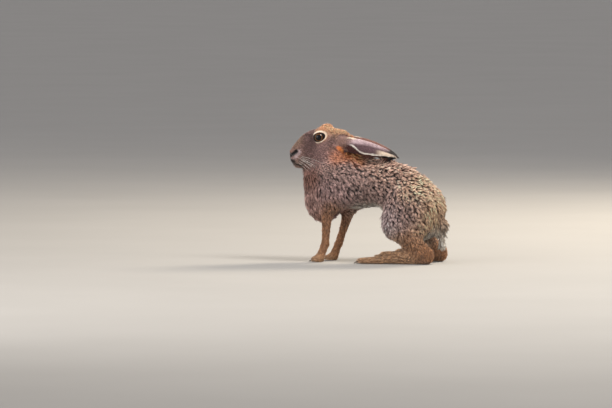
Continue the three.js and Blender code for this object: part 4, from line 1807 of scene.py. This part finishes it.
    def _colour(
        self, piece: bpy.types.Object, roots: Roots, clump: np.ndarray, clumps: int,
        stations: np.ndarray, rng: np.random.Generator,
    ) -> None:
        """Writes each tuft's colours, and how far along it each point lies.

        Args:
            piece: The tufts' object.
            roots: Where the tufts grow.
            clump: The clump that each tuft belongs to.
            clumps: The number of clumps.
            stations: The shares of a tuft's length where it has points.
            rng: The source of chance.
        """
        look = self.light
        count = len(roots.place)
        stride = 3 * (len(stations) - 1) + 1
        along = np.concatenate([np.repeat(stations[:-1], 3), [1.0]])
        clump_light = rng.normal(size=clumps)[clump] * look.clump_spread
        own_light = rng.normal(size=count) * look.own_spread
        light = 1.0 + clump_light + own_light
        light *= 1.0 + look.lump_share * ripple(roots.place, look.lump_width, SEED)
        light = np.clip(light, *look.limits)[:, None]
        dark = rng.random(clumps)[clump] < roots.lie.dark_share
        tipped = np.where(dark, rng.uniform(*look.dark_tip, count), rng.uniform(*look.plain_tip, count))
        write_number(piece.data, "along", np.tile(along, count))
        write_number(piece.data, "tipped", np.repeat(tipped, stride))
        write_colour(piece.data, "root", np.repeat(roots.lie.root, stride, axis=0))
        band = np.clip(roots.lie.band * light, 0, 1)
        write_colour(piece.data, "band", np.repeat(band, stride, axis=0))


# The eyes


@dataclass(frozen=True)
class EyeFinish:
    """A wet eye: dark pupil, amber-brown iris with fine spokes, and a dark edge.

    Places across the eye are shares of its width, and edges are steps from them.
    """

    pupil: float = 0.5
    pupil_edge: Pair = (-0.02, 0.03)
    iris: float = 0.68
    iris_shade: float = 0.16
    iris_edge: float = 0.06
    spokes: float = 22.0
    rings: float = 3.0
    roughness: float = 0.3
    wet: float = 0.5
    wet_roughness: float = 0.02

    def material(self) -> bpy.types.Material:
        """The eye's material, from the place across the iris that each point has.

        Returns:
            The material.
        """
        sheet = Sheet("eye")
        reach = sheet.attribute("reach").outputs["Fac"]
        bearing = sheet.attribute("bearing").outputs["Fac"]
        turn = sheet.math("MULTIPLY", bearing, self.spokes)
        combine = sheet.node("ShaderNodeCombineXYZ", X=turn, Y=sheet.math("MULTIPLY", reach, self.rings))
        spokes = sheet.node("ShaderNodeTexNoise", Vector=combine.outputs[0], Scale=1.0, Detail=3.0)
        amber = sheet.mix(spokes.outputs["Fac"], paint(76, 46, 22), paint(140, 92, 46))
        ring = sheet.mix(sheet.step(reach, self.iris - self.iris_shade, self.iris), amber, paint(40, 22, 14))
        start, end = self.pupil_edge
        colour = sheet.mix(sheet.step(reach, self.pupil + start, self.pupil + end), paint(4, 4, 10), ring)
        rim = sheet.step(reach, self.iris, self.iris + self.iris_edge)
        colour = sheet.mix(rim, colour, paint(16, 10, 9))
        sheet.feed(sheet.shader.inputs["Base Color"], colour)
        sheet.shader.inputs["Roughness"].default_value = self.roughness
        sheet.shader.inputs["Specular IOR Level"].default_value = 0.0
        sheet.shader.inputs["Coat Weight"].default_value = self.wet
        sheet.shader.inputs["Coat Roughness"].default_value = self.wet_roughness
        return sheet.material


@dataclass
class Eye:
    """A glossy globe with a raised cornea. Shares are of its radius."""

    place: EyePlace
    finish: EyeFinish = EyeFinish()
    segments: int = 64
    rings: int = 40
    cornea: float = 0.05
    cornea_end: Pair = (0.3, 0.9)
    widest: float = 0.98
    back_reach: float = 1.2

    def build(self) -> bpy.types.Object:
        """Makes the globe in its socket.

        Returns:
            The finished eye.
        """
        side = self.place.side
        name = "eyeball_" + side.name.lower()
        radius = HEAD.eye_radius
        bpy.ops.object.select_all(action="DESELECT")
        bpy.ops.mesh.primitive_uv_sphere_add(
            segments=self.segments, ring_count=self.rings, radius=radius * MM
        )
        globe = bpy.context.object
        globe.name = name
        globe.data.name = name
        points = points_of(globe) / (radius * MM)
        reach = np.hypot(points[:, 0], points[:, 1])
        front = points[:, 2] > 0
        bulge = 1.0 + self.cornea * front * (1.0 - smooth(*self.cornea_end, reach))
        outward, forward, upward = self.place.axes
        local = (points * bulge[:, None] * radius) @ np.stack([forward, upward, outward])
        place_points(globe, HEAD.world(self.place.centre + local))
        turned = np.stack([HEAD.direction(way) for way in (forward, upward, outward)])
        if np.linalg.det(turned) < 0:
            globe.data.flip_normals()
        write_number(globe.data, "reach", np.where(front, reach, self.back_reach) / self.widest)
        write_number(globe.data, "bearing", np.arctan2(points[:, 1], points[:, 0]))
        for polygon in globe.data.polygons:
            polygon.use_smooth = True
        return dress(globe, self.finish.material(), "eye", "eye_" + side.name.lower())


# Whiskers and claws


@dataclass(frozen=True)
class HairFinish:
    """Stiff pale hair."""

    grain_scale: float = 300.0
    roughness: float = 0.35

    def material(self) -> bpy.types.Material:
        """The whiskers' material.

        Returns:
            The material.
        """
        sheet = Sheet("whisker")
        grain = sheet.noise(self.grain_scale)
        colour = sheet.mix(grain, paint(214, 206, 198), paint(250, 248, 244))
        sheet.feed(sheet.shader.inputs["Base Color"], colour)
        sheet.shader.inputs["Roughness"].default_value = self.roughness
        return sheet.material


@dataclass
class Strands:
    """Tapered closed strands joined in one mesh. Sizes are in millimetres.

    The guide is a direction that no strand follows, which sets where its corners lie.
    """

    sides: int = 5
    stations: int = 9
    guide: Triple = (0.3, 0.2, 1.0)
    points: list = field(default_factory=list)
    faces: list = field(default_factory=list)

    def add(
        self, root: np.ndarray, aim: np.ndarray, droop: np.ndarray, reach: float, width: Pair
    ) -> None:
        """Adds one strand.

        Args:
            root: Where it starts.
            aim: The way it starts out.
            droop: How far its tip is drawn aside, as a share of its reach.
            reach: Its length.
            width: Its width at the root and at the tip.
        """
        start = len(self.points)
        across = unit(np.cross(aim, np.array(self.guide)))
        above = np.cross(across, aim)
        for s in np.linspace(0.0, 1.0, self.stations):
            centre = root + (aim * s + droop * s * s) * reach
            radius = (width[0] + (width[1] - width[0]) * s) / 2
            for corner in range(self.sides):
                angle = math.tau * corner / self.sides
                self.points.append(centre + (across * math.cos(angle) + above * math.sin(angle)) * radius)
        for number in range(self.stations - 1):
            low = start + number * self.sides
            high = low + self.sides
            for corner in range(self.sides):
                after = (corner + 1) % self.sides
                self.faces.append((low + corner, low + after, high + after, high + corner))
        last = start + (self.stations - 1) * self.sides
        self.faces.append(tuple(start + corner for corner in range(self.sides)))
        self.faces.append(tuple(last + corner for corner in range(self.sides)))

    def piece(self, name: str, places: np.ndarray) -> bpy.types.Object:
        """Makes the object, with its faces turned outward.

        Args:
            name: The object's name.
            places: The strands' points in the frame.

        Returns:
            The object, not yet dressed.
        """
        mesh = bpy.data.meshes.new(name)
        mesh.from_pydata([tuple(place) for place in places], [], self.faces)
        mesh.update()
        made = bpy.data.objects.new(name, mesh)
        bpy.context.scene.collection.objects.link(made)
        alone(made)
        bpy.ops.object.mode_set(mode="EDIT")
        bpy.ops.mesh.select_all(action="SELECT")
        bpy.ops.mesh.normals_make_consistent(inside=False)
        bpy.ops.object.mode_set(mode="OBJECT")
        for polygon in mesh.polygons:
            polygon.use_smooth = True
        return made


@dataclass
class Whiskers:
    """Rows of long hairs on the whisker pads and a few over the eyes, on both sides of the face.

    Places and steps are of the left side, in the head's own millimetres. An aim is a direction.
    """

    rows: int = 3
    in_row: int = 3
    width: float = 0.5
    tip_share: float = 0.2
    root: Triple = (11.5, 104.0, -8.0)
    root_in_row: Triple = (1.2, -4.5, 0.0)
    root_next_row: Triple = (0.0, 0.0, -3.2)
    aim: Triple = (0.7, -0.75, -0.16)
    aim_in_row: Triple = (0.0, -0.1, 0.0)
    aim_next_row: Triple = (0.0, 0.0, -0.2)
    aim_spread: float = 0.06
    length: float = 38.0
    length_in_row: float = 8.0
    length_spread: Pair = (-4.0, 6.0)
    droop: Triple = (-0.1, -0.15, -0.24)
    brow_hairs: int = 2
    brow_root: Triple = (20.0, 58.0, 31.0)
    brow_step: Triple = (0.0, -5.0, 0.0)
    brow_aim: Triple = (0.5, -0.7, 0.6)
    brow_droop: Triple = (0.0, -0.2, -0.1)
    brow_length: float = 13.0

    def build(self) -> bpy.types.Object:
        """Makes all whiskers as one piece.

        Returns:
            The finished whiskers.
        """
        rng = np.random.default_rng(SEED + 50)
        strands = Strands()
        taper = (self.width, self.width * self.tip_share)
        for side in Side:
            mirror = np.array((side.value, 1.0, 1.0))
            for row in range(self.rows):
                for number in range(self.in_row):
                    root = self._step(self.root, number, self.root_in_row, row, self.root_next_row)
                    aim = self._step(self.aim, number, self.aim_in_row, row, self.aim_next_row)
                    aim[2] += rng.uniform(-self.aim_spread, self.aim_spread)
                    reach = self.length + self.length_in_row * number + rng.uniform(*self.length_spread)
                    droop = np.array(self.droop) * mirror
                    strands.add(root * mirror, unit(aim * mirror), droop, reach, taper)
            for number in range(self.brow_hairs):
                root = np.array(self.brow_root) + np.array(self.brow_step) * number
                aim = unit(np.array(self.brow_aim))
                droop = np.array(self.brow_droop)
                strands.add(root * mirror, aim * mirror, droop, self.brow_length, taper)
        piece = strands.piece("whiskers", HEAD.world(np.array(strands.points)))
        return dress(piece, HairFinish().material(), "whisker")

    @staticmethod
    def _step(first: Triple, number: int, in_row: Triple, row: int, next_row: Triple) -> np.ndarray:
        """A place or a direction some steps along its row and some rows down."""
        return np.array(first) + np.array(in_row) * number + np.array(next_row) * row


@dataclass(frozen=True)
class ClawFinish:
    """Dark brown horn, smooth but not shiny."""

    roughness: float = 0.42
    grain_scale: float = 500.0
    grain_detail: float = 3.0
    grain_stretch: Triple = (1.0, 0.3, 1.0)

    def material(self) -> bpy.types.Material:
        """The claws' material.

        Returns:
            The material.
        """
        sheet = Sheet("claw")
        grain = sheet.noise(self.grain_scale, self.grain_detail, self.grain_stretch)
        colour = sheet.mix(grain, paint(38, 28, 24), paint(92, 74, 62))
        sheet.feed(sheet.shader.inputs["Base Color"], colour)
        sheet.shader.inputs["Roughness"].default_value = self.roughness
        return sheet.material


@dataclass
class Claws:
    """Four short claws on each foot, set in the coat of the toes. Sizes are in millimetres.

    Each of the feet has the left, back and up of its toes' middle and its spread. The crowding is a share
    of the spread. The fan, the fall and the hook are directions' parts.
    """

    toes: int = 4
    sides: int = 8
    stations: int = 6
    length: float = 9.0
    width: float = 2.9
    tip_width: float = 0.4
    crowding: float = 0.62
    arch: float = 0.9
    fan: float = 0.07
    fall: float = -0.12
    hook: float = -0.3
    feet: tuple[tuple[float, float, float, float], ...] = (
        (28.0, -103.0, 5.0, 5.6), (-28.0, -95.0, 5.0, 5.6), (52.0, -14.0, 4.5, 6.6), (-52.0, -14.0, 4.5, 6.6),
    )

    def build(self) -> bpy.types.Object:
        """Makes all claws as one piece.

        Returns:
            The finished claws.
        """
        strands = Strands(sides=self.sides, stations=self.stations)
        droop = np.array((0.0, 0.0, self.hook))
        for x, y, z, spread in self.feet:
            for toe in range(self.toes):
                place = toe - (self.toes - 1) / 2
                back = self.arch * place * place
                root = np.array((x + spread * place * self.crowding, y + back, z))
                aim = unit(np.array((self.fan * place, -1.0, self.fall)))
                strands.add(root, aim, droop, self.length, (self.width, self.tip_width))
        shift = np.array(HEAD.body_shift)
        piece = strands.piece("claws", np.array(strands.points) * MM + shift)
        return dress(piece, ClawFinish().material(), "claw")


# The studio


@dataclass(frozen=True)
class Lamp:
    """A soft square lamp, placed by metres towards the camera, right and up from the hare."""

    name: str
    place: Triple
    size: float
    power: float
    colour: Triple


@dataclass(frozen=True)
class Studio:
    """A pale floor, soft light and the camera. Lengths are in metres and angles in degrees."""

    azimuth: float = 107.0
    elevation: float = 3.0
    distance: float = 12.0
    pixel: float = 1.75 * MM
    image_width: int = 612
    image_height: int = 408
    hare_x: float = 375.0
    floor_y: float = 262.0
    sensor_width: float = 36.0
    sight: float = 100.0
    floor_size: float = 40.0
    floor_grain: float = 3.0
    floor_roughness: float = 0.9
    aim_height: float = 120.0
    lamps: tuple[Lamp, ...] = (
        Lamp("key", (1.5, 1.5, 2.3), 1.2, 84.0, (1.0, 0.95, 0.88)),
        Lamp("rim", (-1.5, 1.5, 1.7), 0.9, 84.0, (1.0, 0.88, 0.7)),
        Lamp("fill", (1.4, -1.6, 0.35), 1.6, 26.0, (1.0, 0.96, 0.92)),
    )
    surround: tuple[float, float, float, float] = (0.95, 0.93, 0.94, 1.0)
    surround_strength: float = 0.62

    def _directions(self) -> tuple[Vector, Vector, Vector]:
        """The camera's own directions.

        Returns:
            Its backward, right and up directions.
        """
        a, e = math.radians(self.azimuth), math.radians(self.elevation)
        back = Vector((math.sin(a) * math.cos(e), -math.cos(a) * math.cos(e), math.sin(e)))
        right = Vector((0, 0, 1)).cross(back).normalized()
        return back, right, back.cross(right)

    def build(self) -> None:
        """Makes the floor, the lights and the camera."""
        self._camera()
        self._floor()
        self._lights()

    def _camera(self) -> None:
        """Places the camera so that one pixel spans the stated length at the hare."""
        back, right, up = self._directions()
        across = (self.image_width / 2 - self.hare_x) * self.pixel
        above = (self.floor_y - self.image_height / 2) * self.pixel
        target = frame_point(0, 0, 0) + right * across + up * above
        data = bpy.data.cameras.new("camera")
        data.sensor_width = self.sensor_width
        data.lens = data.sensor_width * self.distance / (self.image_width * self.pixel)
        data.clip_end = self.sight
        camera = bpy.data.objects.new("camera", data)
        camera.location = target + back * self.distance
        camera.rotation_euler = Matrix((right, up, back)).transposed().to_euler()
        bpy.context.scene.collection.objects.link(camera)
        bpy.context.scene.camera = camera

    def _floor(self) -> None:
        """Makes a wide pale floor."""
        bpy.ops.object.select_all(action="DESELECT")
        bpy.ops.mesh.primitive_plane_add(size=self.floor_size, location=(0, 0, 0))
        floor = bpy.context.object
        floor.name = "floor"
        sheet = Sheet("floor")
        colour = sheet.mix(sheet.noise(self.floor_grain), paint(156, 154, 151), paint(164, 162, 159))
        sheet.feed(sheet.shader.inputs["Base Color"], colour)
        sheet.shader.inputs["Roughness"].default_value = self.floor_roughness
        floor.data.materials.append(sheet.material)

    def _lights(self) -> None:
        """Makes a soft key, a warm rim from behind and an even surround."""
        back, right, up = self._directions()
        aim = frame_point(0, 0, self.aim_height)
        for lamp in self.lamps:
            data = bpy.data.lights.new(lamp.name, "AREA")
            data.size = lamp.size
            data.energy = lamp.power
            data.color = lamp.colour
            towards, sideways, above = lamp.place
            offset = back * towards + right * sideways + up * above
            made = bpy.data.objects.new(lamp.name, data)
            made.location = aim + offset
            made.rotation_euler = offset.to_track_quat("Z", "Y").to_euler()
            bpy.context.scene.collection.objects.link(made)
        world = bpy.data.worlds.new("surround")
        world.use_nodes = True
        background = world.node_tree.nodes["Background"]
        background.inputs["Color"].default_value = self.surround
        background.inputs["Strength"].default_value = self.surround_strength
        bpy.context.scene.world = world
        bpy.context.scene.view_settings.view_transform = "Standard"


def main() -> None:
    """Builds the hare and the studio in order."""
    logging.basicConfig(level=logging.INFO, format="%(name)s %(message)s")
    Studio().build()
    coat_map = CoatMap()
    finish = CoatFinish()
    skin = Skin()
    covered = skin.build(coat_map)
    Coat(covered, coat_map, finish).build()
    dress(covered, finish.underfur(), "skin", *skin.flesh)
    for place in EYES:
        Eye(place).build()
    Whiskers().build()
    Claws().build()


if __name__ == "__main__":
    main()
